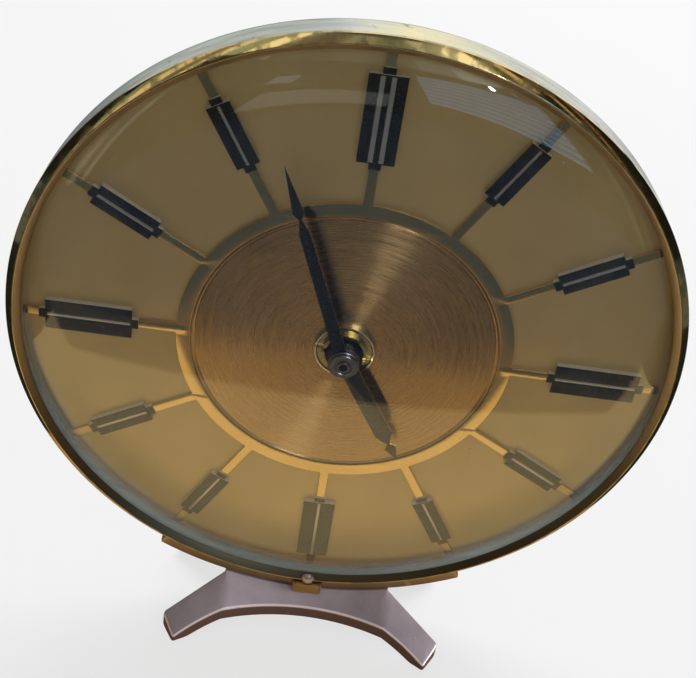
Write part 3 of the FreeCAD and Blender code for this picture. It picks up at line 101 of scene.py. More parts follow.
# ---------------------------------------------------------------- dial furniture
HOLE_R = 4.1 * MM
THREAD_PITCH = 0.5 * MM
ENAMELLED_R = 4.4 * MM                       # enamel also covers the side walls within this radius
RING_INNER_R = DISC_R + 0.3 * MM
RING_OUTER_R = RING_INNER_R + 3.5 * MM
SPIDER_WALL = 0.8 * MM
SPOKE_WIDTH = 2.2 * MM
SEAT_RING_WIDTH = 2.1 * MM
SPOKE_END_R = GLASS_R - SEAT_RING_WIDTH - 0.1 * MM
HOURS = np.arange(12)
LINE_WIDTH, LINE_TOP, LINE_MARGIN = 0.66 * MM, -1.3 * MM, 0.5 * MM
TWIN_LINE_WIDTH, TWIN_LINE_OFFSET = 1.1 * MM, 1.25 * MM
MARKER_TOP = front_of("marker_twelve")
LONG_LENGTH, LONG_FROM_EDGE, LONG_WIDTH = 21.6 * MM, 7.5 * MM, 8.8 * MM
SHORT_LENGTH, SHORT_FROM_EDGE, SHORT_WIDTH = 16.1 * MM, 10.3 * MM, 5.8 * MM
STUB_LENGTH, STUB_WIDTH, STUB_DROP = 1.6 * MM, 2.9 * MM, 0.2 * MM
SLOT_GAP = 0.05 * MM

# ---------------------------------------------------------------- hands
MINUTE_CLOCK, HOUR_CLOCK = 339.3, 149.5      # degrees clockwise from twelve
HAND_WALL = 0.4 * MM
MINUTE_STATIONS = np.array([[0, 1.7], [38.6, 1.35], [42.5, 0.35], [44.5, 1.4], [57.0, 0]]) * MM
HOUR_STATIONS = np.array([[0, 2.3], [26.6, 2.3], [30.0, 0.35], [31.4, 1.6], [36.0, 0]]) * MM
MINUTE_EYE_R, HOUR_EYE_R = 3.0 * MM, node_radius("hand_washers")
MINUTE_TUBE_R, HOUR_TUBE_R = 1.6 * MM, 2.45 * MM
WASHER_COUNT = 3

# ---------------------------------------------------------------- cradle and foot
CRADLE_R = CASE_R + 3.9 * MM
CRADLE_HALF_ANGLE = math.radians(29.7)
FOOT_FLAT, FOOT_SLOPE = 4.0 * MM, 0.80
FOOT_OVERLAP = 0.4 * MM
FOOT_SHOULDER_X, FOOT_SIDE_FALL = 24.0 * MM, 0.10
FOOT_WALL = 3.9 * MM
FOOT_WAIST = np.array([24.4, 4.5]) * MM
FOOT_OUTER = np.array([41.0, 14.6]) * MM
FOOT_TIP = np.array([37.0, 20.3]) * MM
FOOT_ARCH_Y = 9.2 * MM
FOOT_CORNER_R, FOOT_BEVEL = 1.2 * MM, 0.55 * MM
# Places of the cuts that divide the foot into strips, in millimetres from its middle.
FOOT_CUTS_X, FOOT_CUTS_Y = np.arange(-40, 40.1, 2.0), (-12, -8, -4.5, -4, 0, 4, 4.5, 8, 12)


# ================================================================ shapes from formulas
class Shape:
    """Points, four-cornered faces, triangles and one UV pair per face corner."""

    def __init__(self, points, quads=None, triangles=None, quad_uv=None):
        self.points = np.asarray(points, float)
        self.quads = np.zeros((0, 4), int) if quads is None else quads
        self.triangles = np.zeros((0, 3), int) if triangles is None else triangles
        self.quad_uv = np.zeros((len(self.quads), 4, 2)) if quad_uv is None else quad_uv

    def __add__(self, other):
        shift = len(self.points)
        return Shape(
            np.vstack([self.points, other.points]),
            np.vstack([self.quads, other.quads + shift]),
            np.vstack([self.triangles, other.triangles + shift]),
            np.vstack([self.quad_uv, other.quad_uv]))


def together(shapes):
    total = shapes[0]
    for shape in shapes[1:]:
        total = total + shape
    return total


def grid_faces(rows, columns, wrap_rows, wrap_columns):
    """Corner numbers of the cells of a rows by columns grid, and each corner's UV in the grid."""
    i = np.arange(rows if wrap_rows else rows - 1)
    j = np.arange(columns if wrap_columns else columns - 1)
    i, j = (a.ravel() for a in np.meshgrid(i, j, indexing="ij"))
    ia, ja = (i + 1) % rows, (j + 1) % columns
    quads = np.stack([i * columns + j, i * columns + ja, ia * columns + ja, ia * columns + j], 1)
    u = np.stack([i, i, i + 1, i + 1], 1) / len(np.unique(i))
    v = np.stack([j, j + 1, j + 1, j], 1) / len(np.unique(j))
    return quads, np.stack([u, v], 2)


def on_dial(right, up, y):
    """Points of the room from (right, up) and y on the dial."""
    right, up, y = np.broadcast_arrays(right, up, y)
    return np.stack([AXIS_X + right, FACE_Y + y, AXIS_Z + up], -1)


def lathe(profile, segments=256, closed=True, centre=(0.0, 0.0)):
    """Surface of revolution: the profile's (radius, y) points are carried round the clock's axis,
    or round the line through centre = (right, up). u is the angle and v runs along the profile."""
    profile = np.asarray(profile)
    angle = np.arange(segments)[:, None] * TURN / segments
    right = centre[0] + np.sin(angle) * profile[None, :, 0]
    up = centre[1] + np.cos(angle) * profile[None, :, 0]
    points = on_dial(right, up, profile[None, :, 1]).reshape(-1, 3)
    quads, uv = grid_faces(segments, len(profile), True, closed)
    return Shape(points, quads, quad_uv=uv)


def rounded(points, radius, steps=4, closed=True):
    """The same outline with its corners rounded: between two tangent points, each corner follows the
    curve (1-s)^2 A + 2s(1-s) P + s^2 B. A corner with radius 0 stays one point."""
    points = np.asarray(points, float)
    radius = np.broadcast_to(radius, len(points)).astype(float)
    back = np.roll(points, 1, 0) - points
    ahead = np.roll(points, -1, 0) - points
    length_back = np.linalg.norm(back, axis=1)
    length_ahead = np.linalg.norm(ahead, axis=1)
    back, ahead = back / length_back[:, None], ahead / length_ahead[:, None]
    half = np.arccos(np.clip((back * ahead).sum(1), -1, 1)) / 2
    reach = np.minimum(radius / np.tan(half), 0.45 * np.minimum(length_back, length_ahead))
    s = np.linspace(0, 1, steps + 1)[None, :, None]
    a = (points + back * reach[:, None])[:, None]
    b = (points + ahead * reach[:, None])[:, None]
    curve = (1 - s) ** 2 * a + 2 * s * (1 - s) * points[:, None] + s ** 2 * b
    sharp = radius <= 0
    if not closed:
        sharp[[0, -1]] = True
    pieces = [points[k:k + 1] if sharp[k] else curve[k] for k in range(len(points))]
    return np.vstack(pieces)


def turned(outline, degrees):
    """Outline turned clockwise on the dial."""
    a = math.radians(degrees)
    c, s = math.cos(a), math.sin(a)
    return np.asarray(outline) @ np.array([[c, -s], [s, c]])


def rectangle(left, right, low, high):
    return np.array([[left, low], [right, low], [right, high], [left, high]])


def area(outline):
    x, y = outline[:, 0], outline[:, 1]
    return 0.5 * np.sum(x * np.roll(y, -1) - np.roll(x, -1) * y)


def inset(outline, distance):
    """Outline moved into its left side by distance, with mitred corners."""
    step = np.roll(outline, -1, 0) - outline
    step /= np.linalg.norm(step, axis=1)[:, None]
    normal = np.stack([-step[:, 1], step[:, 0]], 1)
    before = np.roll(normal, 1, 0)
    mitre = (normal + before) / (1 + (normal * before).sum(1))[:, None]
    return outline + distance * mitre


def edge_profile(front, back, bevel, steps=3):
    """Section of a plate's edge as (inset, y): a quarter round at the front, then the wall."""
    a = np.linspace(0, math.pi / 2, steps + 1)
    arc = np.stack([bevel * (1 - np.sin(a)), front + bevel * (1 - np.cos(a))], 1)
    return np.vstack([arc, [[0, back]]])


def plate(outer, front, back, bevel, holes=()):
    """Flat plate with a rounded front edge: the edge section is carried along each outline, and the
    front and the back are filled. The first outline runs anticlockwise and the holes clockwise."""
    loops = [outer if area(outer) > 0 else outer[::-1]]
    loops += [h if area(h) < 0 else h[::-1] for h in holes]
    section = edge_profile(front, back, bevel)
    shapes, caps = [], []
    for loop in loops:
        rows = np.stack([inset(loop, d) for d, _ in section], 1)
        y = np.broadcast_to(section[None, :, 1], rows.shape[:2])
        quads, uv = grid_faces(len(loop), len(section), True, False)
        shapes.append(Shape(on_dial(rows[..., 0], rows[..., 1], y).reshape(-1, 3), quads, quad_uv=uv))
        caps.append(inset(loop, section[0, 0]))
    body = together(shapes)
    for y, edge in ((front, caps), (back, loops)):
        flat = np.vstack(edge)
        triangles = tessellate_polygon([[Vector((x, z, 0)) for x, z in loop] for loop in edge])
        body = body + Shape(on_dial(flat[:, 0], flat[:, 1], y), triangles=np.array(triangles))
    return body


def arc_points(radius, start, end, count):
    """Points on a circle of the dial, from start to end in radians clockwise from twelve."""
    a = np.linspace(start, end, count)
    return np.stack([radius * np.sin(a), radius * np.cos(a)], 1)


# ================================================================ from shapes to pieces
def clean(mesh, smooth_angle=40, from_cad=False):
    """Merge doubles, then close the poles, or join the flat triangles of a CAD mesh. Point the faces
    outwards and smooth all but the sharp edges."""
    work = bmesh.new()
    work.from_mesh(mesh)
    bmesh.ops.remove_doubles(work, verts=work.verts, dist=2e-6 if from_cad else 1e-7)
    if from_cad:
        bmesh.ops.dissolve_limit(work, angle_limit=math.radians(0.5), verts=work.verts, edges=work.edges)
    else:
        bmesh.ops.dissolve_degenerate(work, edges=work.edges, dist=1e-8)
    bmesh.ops.recalc_face_normals(work, faces=work.faces)
    work.to_mesh(mesh)
    work.free()
    mesh.shade_smooth()
    mesh.set_sharp_from_angle(angle=math.radians(smooth_angle))


def points_of(mesh):
    co = np.zeros(len(mesh.vertices) * 3)
    mesh.vertices.foreach_get("co", co)
    return co.reshape(-1, 3)


def linked(name, data):
    """New object of the scene."""
    obj = bpy.data.objects.new(name, data)
    bpy.context.scene.collection.objects.link(obj)
    return obj


def give_finish(mesh, node):
    mesh.materials.clear()
    mesh.materials.append(FINISH[SLOT_OF[node]])


def stand_for(node, mesh):
    """Object with the node's finish that replaces the node on the node's body."""
    obj = linked(node + "_piece", mesh)
    give_finish(mesh, node)
    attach(obj, BODY_OF[node])
    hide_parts(node)
    return obj


def piece(node, shape):
    """Turns a shape into an object that stands for the node."""
    mesh = bpy.data.meshes.new(node + "_mesh")
    mesh.from_pydata(shape.points.tolist(), [], shape.quads.tolist() + shape.triangles.tolist())
    layer = mesh.uv_layers.new(name="turned")
    flat_uv = np.zeros((len(shape.triangles) * 3, 2))
    layer.data.foreach_set("uv", np.vstack([shape.quad_uv.reshape(-1, 2), flat_uv]).ravel())
    clean(mesh)
    return stand_for(node, mesh)


def eased(node, bevel):
    """Copy of a node with merged triangles and softly broken edges."""
    mesh = frame["nodes"][node].data.copy()
    clean(mesh, from_cad=True)
    edge = stand_for(node, mesh).modifiers.new("broken_edges", "BEVEL")
    edge.width, edge.segments, edge.limit_method = bevel, 2, "ANGLE"
    edge.angle_limit = math.radians(40)


# ================================================================ finishes
def new_finish(name, recipe, *given):
    """Material whose node tree is filled by the recipe."""
    material = bpy.data.materials.new(name)
    material.use_nodes = True
    material.node_tree.nodes.clear()
    recipe(material.node_tree, *given)
    return material


def add(tree, kind, inputs=None, **settings):
    """Node of that kind, with its inputs set to values or linked to sockets."""
    node = tree.nodes.new("ShaderNode" + kind)
    for key, value in settings.items():
        setattr(node, key, value)
    for key, value in (inputs or {}).items():
        if isinstance(value, bpy.types.NodeSocket):
            tree.links.new(value, node.inputs[key])
        else:
            node.inputs[key].default_value = value
    return node


def rgb(colour):
    return (*colour, 1.0)


def own_place(tree, scale=(1, 1, 1), turn=(0, 0, 0), centre=(0, 0, 0)):
    """Object coordinates from centre, turned and scaled."""
    coordinates = add(tree, "TexCoord")
    moved = add(tree, "Mapping", {"Vector": coordinates.outputs["Object"],
                                  "Location": tuple(-c for c in centre)})
    return add(tree, "Mapping", {"Vector": moved.outputs[0], "Rotation": turn,
                                 "Scale": scale}).outputs[0]


def facing(tree):
    """x, y and z of the direction that a face looks to."""
    return add(tree, "SeparateXYZ", {0: add(tree, "TexCoord").outputs["Normal"]}).outputs


def from_axis(tree):
    """Place from the clock's axis: its x, y and z, the same place with y = 0, and the radius."""
    parts = add(tree, "SeparateXYZ", {0: own_place(tree, centre=(AXIS_X, 0, AXIS_Z))}).outputs
    flat = add(tree, "CombineXYZ", {0: parts[0], 2: parts[2]}).outputs[0]
    radius = add(tree, "VectorMath", {0: flat}, operation="LENGTH").outputs["Value"]
    return parts, flat, radius


def noise(tree, vector, scale, detail, roughness=0.55):
    return add(tree, "TexNoise", {"Vector": vector, "Scale": scale, "Detail": detail,
                                  "Roughness": roughness}).outputs["Fac"]


def remap(tree, value, low, high, to_low=0.0, to_high=1.0):
    return add(tree, "MapRange", {"Value": value, "From Min": low, "From Max": high,
                                  "To Min": to_low, "To Max": to_high}).outputs[0]


def compute(tree, operation, a, b=0.0):
    return add(tree, "Math", {0: a, 1: b}, operation=operation).outputs[0]


def scaled(tree, vector, factor):
    return add(tree, "VectorMath", {0: vector, "Scale": factor}, operation="SCALE").outputs[0]


def blend(tree, factor, a, b):
    """Colour from a to b."""
    mix = add(tree, "Mix", {"Factor": factor}, data_type="RGBA")
    for socket, value in ((mix.inputs[6], a), (mix.inputs[7], b)):
        if isinstance(value, bpy.types.NodeSocket):
            tree.links.new(value, socket)
        else:
            socket.default_value = rgb(value)
    return mix.outputs[2]


def bump(tree, height, strength, distance, normal=None):
    inputs = {"Height": height, "Strength": strength, "Distance": distance}
    if normal is not None:
        inputs["Normal"] = normal
    return add(tree, "Bump", inputs).outputs[0]


def surface(tree, tone, roughness, normal, **more):
    """Ends the tree in a shader; more gives its other inputs, with _ for a space in their names."""
    inputs = {"Base Color": tone, "Roughness": roughness, "Normal": normal}
    inputs.update({key.replace("_", " "): value for key, value in more.items()})
    shader = add(tree, "BsdfPrincipled", inputs)
    add(tree, "OutputMaterial", {"Surface": shader.outputs[0]})


def metal(tree, colour, deep, roughness, grain=(900, 900, 900), grain_depth=0.12, spread=0.08,
          wear_and_highlight=None, raised=None):
    """Metal whose colour drifts from colour to deep in soft clouds, with a fine grain in its
    roughness and height, and a lighter colour of wear on outer edges where that colour is given.
    What stands above the ring's face has the raised colour where that is given."""
    here = own_place(tree)
    clouds = noise(tree, here, 60.0, 4.0)
    grains = noise(tree, own_place(tree, grain), 1.0, 2.0)
    tone = blend(tree, remap(tree, clouds, 0.35, 0.68), colour, deep)
    if wear_and_highlight is not None:
        edges = add(tree, "NewGeometry").outputs["Pointiness"]
        wear_and_highlight_edge = compute(tree, "MULTIPLY", remap(tree, edges, 0.51, 0.58),
                         remap(tree, clouds, 0.3, 0.6, 0.4, 1.0))
        tone = blend(tree, wear_and_highlight_edge, tone, wear_and_highlight)
    shine = 1.0
    if raised is not None:
        depth = add(tree, "SeparateXYZ", {0: here}).outputs[1]
        ring_face = FACE_Y - SPIDER_WALL
        above = remap(tree, depth, ring_face - 0.1 * MM, ring_face - 0.2 * MM)
        tone = blend(tree, above, tone, raised)
        shine = remap(tree, above, 0.0, 1.0, 1.0, 0.6)
    rough = remap(tree, compute(tree, "ADD", clouds, grains), 0.6, 1.4, roughness - spread,
                  roughness + spread)
    surface(tree, tone, rough, bump(tree, grains, grain_depth, 0.05 * MM), Metallic=shine)


def rolled_lip(tree, colour, deep, upper, lower):
    """Brass lip: the outer slope is polished, with dull patches and shallow dents. The inner slope is
    left matt, and a painted shade darkens its colour from the top of the clock to the bottom."""
    here = own_place(tree)
    parts, _, radius = from_axis(tree)
    crest_r = LIP_R - LIP_CREST_INSET
    inner = remap(tree, radius, crest_r + 0.05 * MM, crest_r - 0.25 * MM)
    patches = noise(tree, here, 260.0, 4.0)
    fine = noise(tree, here, 1100.0, 2.0)
    tone = blend(tree, remap(tree, patches, 0.48, 0.6), colour, deep)
    # Painted shade: the inner slope's colour runs from the upper tone to the dark lower tone down the
    # clock.
    matt = blend(tree, remap(tree, parts[2], -30 * MM, 50 * MM), lower, upper)
    tone = blend(tree, inner, tone, matt)
    rough = compute(tree, "MAXIMUM", remap(tree, patches, 0.45, 0.65, 0.07, 0.22),
                    remap(tree, inner, 0.0, 1.0, 0.0, 0.36))
    dents = bump(tree, patches, 0.12, 0.06 * MM)
    surface(tree, tone, rough, bump(tree, fine, 0.04, 0.03 * MM, dents), Metallic=1.0)


def moulded(tree, colour, deep, roughness, grain=1400.0, grain_depth=0.25):
    """Moulded plastic: a spark-eroded grain in its height and a faint drift of tone."""
    here = own_place(tree)
    cells = noise(tree, here, grain, 2.0)
    tone = blend(tree, noise(tree, here, 45.0, 3.0), colour, deep)
    surface(tree, tone, remap(tree, cells, 0.3, 0.7, roughness - 0.06, roughness + 0.1),
            bump(tree, cells, grain_depth, 0.03 * MM))


def turning_marks(tree, along, around, across, detail, roughness=0.55):
    """Noise in long marks that run round the axis: it reads the direction from the axis times around
    and the length along times across, so that the pattern has no seam."""
    flat = from_axis(tree)[1]
    direction = add(tree, "VectorMath", {0: flat}, operation="NORMALIZE").outputs[0]
    lift = add(tree, "CombineXYZ", {1: compute(tree, "MULTIPLY", along, across)}).outputs[0]
    here = add(tree, "VectorMath", {0: scaled(tree, direction, around), 1: lift}, operation="ADD")
    return noise(tree, here.outputs[0], 1.0, detail, roughness)


def worn_drum(tree, silver, dull, brassy):
    """Satin drum with long fine marks that run round its wall and its back, dull bands between bright
    ones, and a patch to the right of the top where the brass shows through."""
    parts, flat, radius = from_axis(tree)
    reach = compute(tree, "ADD", parts[1], radius)
    fine = turning_marks(tree, reach, 7.0, 5200.0, 3.0)
    bands = turning_marks(tree, reach, 6.0, 420.0, 4.0)
    clouds = noise(tree, own_place(tree), 26.0, 5.0)
    tone = blend(tree, remap(tree, bands, 0.4, 0.62), silver, dull)
    towards = (math.sin(BRASS_PATCH_ANGLE), 0, math.cos(BRASS_PATCH_ANGLE))
    direction = add(tree, "VectorMath", {0: flat}, operation="NORMALIZE").outputs[0]
    near = add(tree, "VectorMath", {0: direction, 1: towards}, operation="DOT_PRODUCT").outputs["Value"]
    patch = compute(tree, "MULTIPLY", remap(tree, near, 0.955, 0.99),
                    remap(tree, clouds, 0.38, 0.6, 0.15, 0.9))
    tone = blend(tree, patch, tone, brassy)
    spots = remap(tree, noise(tree, own_place(tree), 330.0, 2.0), 0.66, 0.72, 0.0, 0.6)
    tone = blend(tree, spots, tone, (0.12, 0.12, 0.1))
    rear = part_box("case_shell")[1].y
    wear_and_highlight = compute(tree, "ADD", parts[1], remap(tree, clouds, 0.3, 0.7, -0.5 * MM, 0.5 * MM))
    tone = blend(tree, remap(tree, wear_and_highlight, rear - 1.6 * MM, rear - 0.9 * MM, 0.0, 0.85), tone,
                 (0.16, 0.17, 0.14))
    surface(tree, tone, remap(tree, bands, 0.35, 0.65, 0.26, 0.42), bump(tree, fine, 0.25, 0.03 * MM),
            Metallic=1.0)


def turned_nut(tree, colour, deep, core_shade):
    """Turned brass nut: a bright line at its rim is a painted highlight, and a dark band in the groove
    inside it is painted shade. Near the bush the metal is painted near black as shade under the hands, with
    painted glints on the thread's crests."""
    here = own_place(tree)
    parts, _, radius = from_axis(tree)
    rim_r, core_r = node_radius("fixing_nut"), HOLE_R + 0.8 * MM
    tone = blend(tree, remap(tree, noise(tree, here, 60.0, 4.0), 0.35, 0.68), colour, deep)
    # Painted shade: a dark band in the groove inside the rim.
    groove = remap(tree, radius, rim_r - 0.85 * MM, rim_r - 0.7 * MM, 0.0, 0.75)
    tone = blend(tree, groove, tone, (0.16, 0.13, 0.06))
    # Painted highlight: a pale cream line along the nut's rim.
    tone = blend(tree, remap(tree, radius, rim_r - 0.45 * MM, rim_r - 0.35 * MM), tone,
                 (0.93, 0.86, 0.62))
    # Painted shade near the bush: the core is near black under the hand stack, with painted glints on the
    # thread's crests.
    thread = compute(tree, "SINE", compute(tree, "MULTIPLY", parts[1], TURN / THREAD_PITCH))
    core_tone = blend(tree, remap(tree, thread, 0.8, 0.97), core_shade, (0.2, 0.19, 0.17))
    tone = blend(tree, remap(tree, radius, core_r + 0.1 * MM, core_r), tone, core_tone)
    fine = noise(tree, here, 900.0, 2.0)
    surface(tree, tone, remap(tree, fine, 0.3, 0.7, 0.16, 0.26), bump(tree, fine, 0.1, 0.04 * MM),
            Metallic=1.0)


def brushed_disc(tree, colour, deep):
    """Lacquered copper colour, brushed in circles: fine marks of uneven length run round the centre,
    and the gloss is drawn out across them."""
    radius = from_axis(tree)[2]
    fine = turning_marks(tree, radius, 4.0, 9000.0, 2.0, 0.6)
    marks = compute(tree, "ADD", fine, turning_marks(tree, radius, 2.5, 4200.0, 2.0))
    clouds = noise(tree, own_place(tree), 40.0, 3.0)
    tone = blend(tree, remap(tree, marks, 0.75, 1.25), deep, colour)
    tone = blend(tree, remap(tree, clouds, 0.4, 0.7, 0.0, 0.35), tone, deep)
    round_it = add(tree, "Tangent", direction_type="UV_MAP", uv_map="turned").outputs[0]
    surface(tree, tone, remap(tree, marks, 0.75, 1.25, 0.19, 0.33), bump(tree, fine, 0.3, 0.02 * MM),
            Metallic=1.0, Anisotropic=1.0, Anisotropic_Rotation=0.25, Tangent=round_it,
            Coat_Weight=0.06, Coat_Roughness=0.3)


def satin_dial(tree, colour, deep):
    """Lacquered satin brass with a fine even grain and faint clouds."""
    here = own_place(tree)
    fine = noise(tree, here, 2600.0, 2.0)
    tone = blend(tree, remap(tree, noise(tree, here, 32.0, 5.0), 0.35, 0.7), colour, deep)
    surface(tree, tone, remap(tree, fine, 0.3, 0.7, 0.46, 0.58), bump(tree, fine, 0.15, 0.02 * MM),
            Metallic=0.85, Coat_Weight=0.15, Coat_Roughness=0.3)


def clear_glass(tree):
    """Clear domed glass that lets light through to the dial, with fine dust on its outer face and a
    bluish-grey painted reflection that thickens towards its lower edge.
    """
    path = add(tree, "LightPath").outputs
    cells = add(tree, "TexVoronoi", {"Vector": own_place(tree), "Scale": 420.0, "Randomness": 1.0})
    size = add(tree, "SeparateColor", {0: cells.outputs["Color"]})
    reach = remap(tree, size.outputs[0], 0.72, 1.0, 0.0, 0.085)
    speck = compute(tree, "LESS_THAN", cells.outputs["Distance"], reach)
    dust = compute(tree, "MULTIPLY", speck, 0.42)
    film = remap(tree, noise(tree, own_place(tree, (70, 70, 24)), 1.0, 5.0), 0.45, 0.8, 0.0, 0.045)
    streaks = remap(tree, noise(tree, own_place(tree, (40, 40, 260)), 1.0, 4.0), 0.3, 0.7, 0.7, 1.0)
    # Painted reflection: towards the lower edge the powder thickens and turns bluish grey, standing for
    # what the glass mirrors there.
    lower_edge = add(tree, "Attribute", attribute_name="lower_edge").outputs["Fac"]
    painted_edge_haze = compute(tree, "MULTIPLY", lower_edge, streaks)
    cover = compute(tree, "MAXIMUM", dust, compute(tree, "MAXIMUM", film, painted_edge_haze))
    front = add(tree, "Attribute", attribute_name="outer_face").outputs["Fac"]
    cover = compute(tree, "MULTIPLY", cover, front)
    glass = add(tree, "BsdfPrincipled", {"Base Color": rgb((0.97, 0.985, 0.975)), "Roughness": 0.015,
                                         "IOR": 1.5, "Transmission Weight": 1.0})
    tint = blend(tree, remap(tree, painted_edge_haze, 0.02, 0.2), (0.62, 0.6, 0.55), (0.44, 0.52, 0.49))
    dust_and_haze = add(tree, "BsdfDiffuse", {"Color": tint})
    seen = add(tree, "MixShader", {0: cover, 1: glass.outputs[0], 2: dust_and_haze.outputs[0]})
    through = add(tree, "BsdfTransparent", {"Color": rgb((0.93, 0.95, 0.935))})
    passing = compute(tree, "MAXIMUM", path["Is Shadow Ray"], path["Is Diffuse Ray"])
    both = add(tree, "MixShader", {0: passing, 1: seen.outputs[0], 2: through.outputs[0]})
    add(tree, "OutputMaterial", {"Surface": both.outputs[0]})


def enamel(tree, colour, roughness):
    """Gloss black enamel with a faint orange peel and a little dust. It covers the faces to the
    front and all that is near the axis; the other side walls are bare metal. The markers' upper
    edges that face upwards get a pale painted highlight."""
    here = own_place(tree)
    parts, _, radius = from_axis(tree)
    dust = noise(tree, here, 5200.0, 1.0)
    tone = blend(tree, remap(tree, dust, 0.66, 0.74, 0.0, 0.35), colour, (0.09, 0.085, 0.075))
    _, to_front, upwards = facing(tree)
    outside = remap(tree, radius, ENAMELLED_R, ENAMELLED_R + 0.4 * MM)
    wall = remap(tree, compute(tree, "ABSOLUTE", to_front), 0.35, 0.2)
    bare = compute(tree, "MULTIPLY", wall, outside)
    tone = blend(tree, bare, tone, (0.62, 0.55, 0.42))
    marker_y = FACE_Y + MARKER_TOP
    low = remap(tree, parts[1], marker_y - 0.4 * MM, marker_y - 0.2 * MM)
    # Painted highlight: upward-facing edges near the markers' tops are made pale and less metallic.
    cut = compute(tree, "MULTIPLY", compute(tree, "MULTIPLY", low, outside),
                  remap(tree, upwards, 0.55, 0.7))
    tone = blend(tree, cut, tone, (0.74, 0.68, 0.57))
    surface(tree, tone, remap(tree, dust, 0.5, 0.75, roughness, roughness + 0.2),
            bump(tree, noise(tree, here, 900.0, 2.0), 0.08, 0.03 * MM),
            Metallic=compute(tree, "MULTIPLY", bare, remap(tree, cut, 0.0, 1.0, 1.0, 0.35)),
            Specular_IOR_Level=0.35, Coat_Weight=0.15, Coat_Roughness=0.1)


def cast_bronze(tree, colour, deep, wear_and_highlight):
    """Satin brown bronze: a cast skin with clouds, walls darkened by painted shade, upper edges made
    pale by a painted highlight, and fine pale specks painted as glints from pinholes."""
    here = own_place(tree)
    skin = noise(tree, here, 1500.0, 3.0)
    tone = blend(tree, remap(tree, noise(tree, here, 55.0, 5.0), 0.35, 0.65), colour, deep)
    upwards = facing(tree)[2]
    # Painted shade: faces that turn from upwards to the side or down are darkened.
    tone = blend(tree, remap(tree, upwards, 0.35, 0.1), tone, (0.13, 0.085, 0.075))
    # Painted highlight: the edges between the top and the walls are made pale.
    wear_and_highlight_edge = compute(tree, "MULTIPLY", remap(tree, upwards, 0.73, 0.66), remap(tree, upwards, 0.3, 0.42))
    tone = blend(tree, wear_and_highlight_edge, tone, wear_and_highlight)
    # Painted glints: pale specks stand for pinholes catching the light.
    pinhole_glints = remap(tree, noise(tree, here, 1900.0, 1.0), 0.77, 0.82, 0.0, 0.7)
    tone = blend(tree, pinhole_glints, tone, (0.8, 0.76, 0.74))
    surface(tree, tone, remap(tree, skin, 0.3, 0.7, 0.42, 0.58), bump(tree, skin, 0.3, 0.04 * MM),
            Metallic=0.6)


def wound_wire(tree, colour, deep, pitch):
    """Enamelled wire wound side by side along x: a round height and a dark line at each turn."""
    here = own_place(tree, (1, 0.02, 0.02))
    wave = add(tree, "TexWave", {"Vector": here, "Scale": 0.314 / pitch, "Distortion": 0.3,
                                 "Detail": 1.0}, bands_direction="X").outputs["Fac"]
    surface(tree, blend(tree, wave, deep, colour), 0.3, bump(tree, wave, 0.6, pitch), Metallic=0.9,
            Coat_Weight=0.6)


def solder_mask(tree, under, board, track):
    """Green circuit board: copper tracks show as lighter lines under the lacquer."""
    tracks = add(tree, "TexBrick", {"Vector": own_place(tree, turn=(math.pi / 2, 0, 0)), "Scale": 260.0,
                                    "Mortar Size": 0.012, "Color1": rgb(under), "Color2": rgb(board),
                                    "Mortar": rgb(track)}).outputs["Color"]
    fine = noise(tree, own_place(tree), 1800.0, 2.0)
    surface(tree, tracks, remap(tree, fine, 0.3, 0.7, 0.3, 0.45), bump(tree, fine, 0.1, 0.02 * MM),
            Coat_Weight=0.4)


def cell_jacket(tree, body, band, end):
    """Steel battery cell in a printed film: a dark body and a copper-coloured band at one end."""
    high_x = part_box("battery")[1].x
    band_x, end_x = high_x - 14 * MM, high_x - 1.9 * MM
    across = add(tree, "SeparateXYZ", {0: own_place(tree)}).outputs[0]
    tone = blend(tree, compute(tree, "GREATER_THAN", across, band_x), body, band)
    tone = blend(tree, compute(tree, "GREATER_THAN", across, end_x), tone, end)
    fine = noise(tree, own_place(tree, (60, 900, 900)), 1.0, 2.0)
    surface(tree, tone, remap(tree, fine, 0.3, 0.7, 0.22, 0.36), bump(tree, fine, 0.08, 0.02 * MM),
            Metallic=0.8, Coat_Weight=0.5)


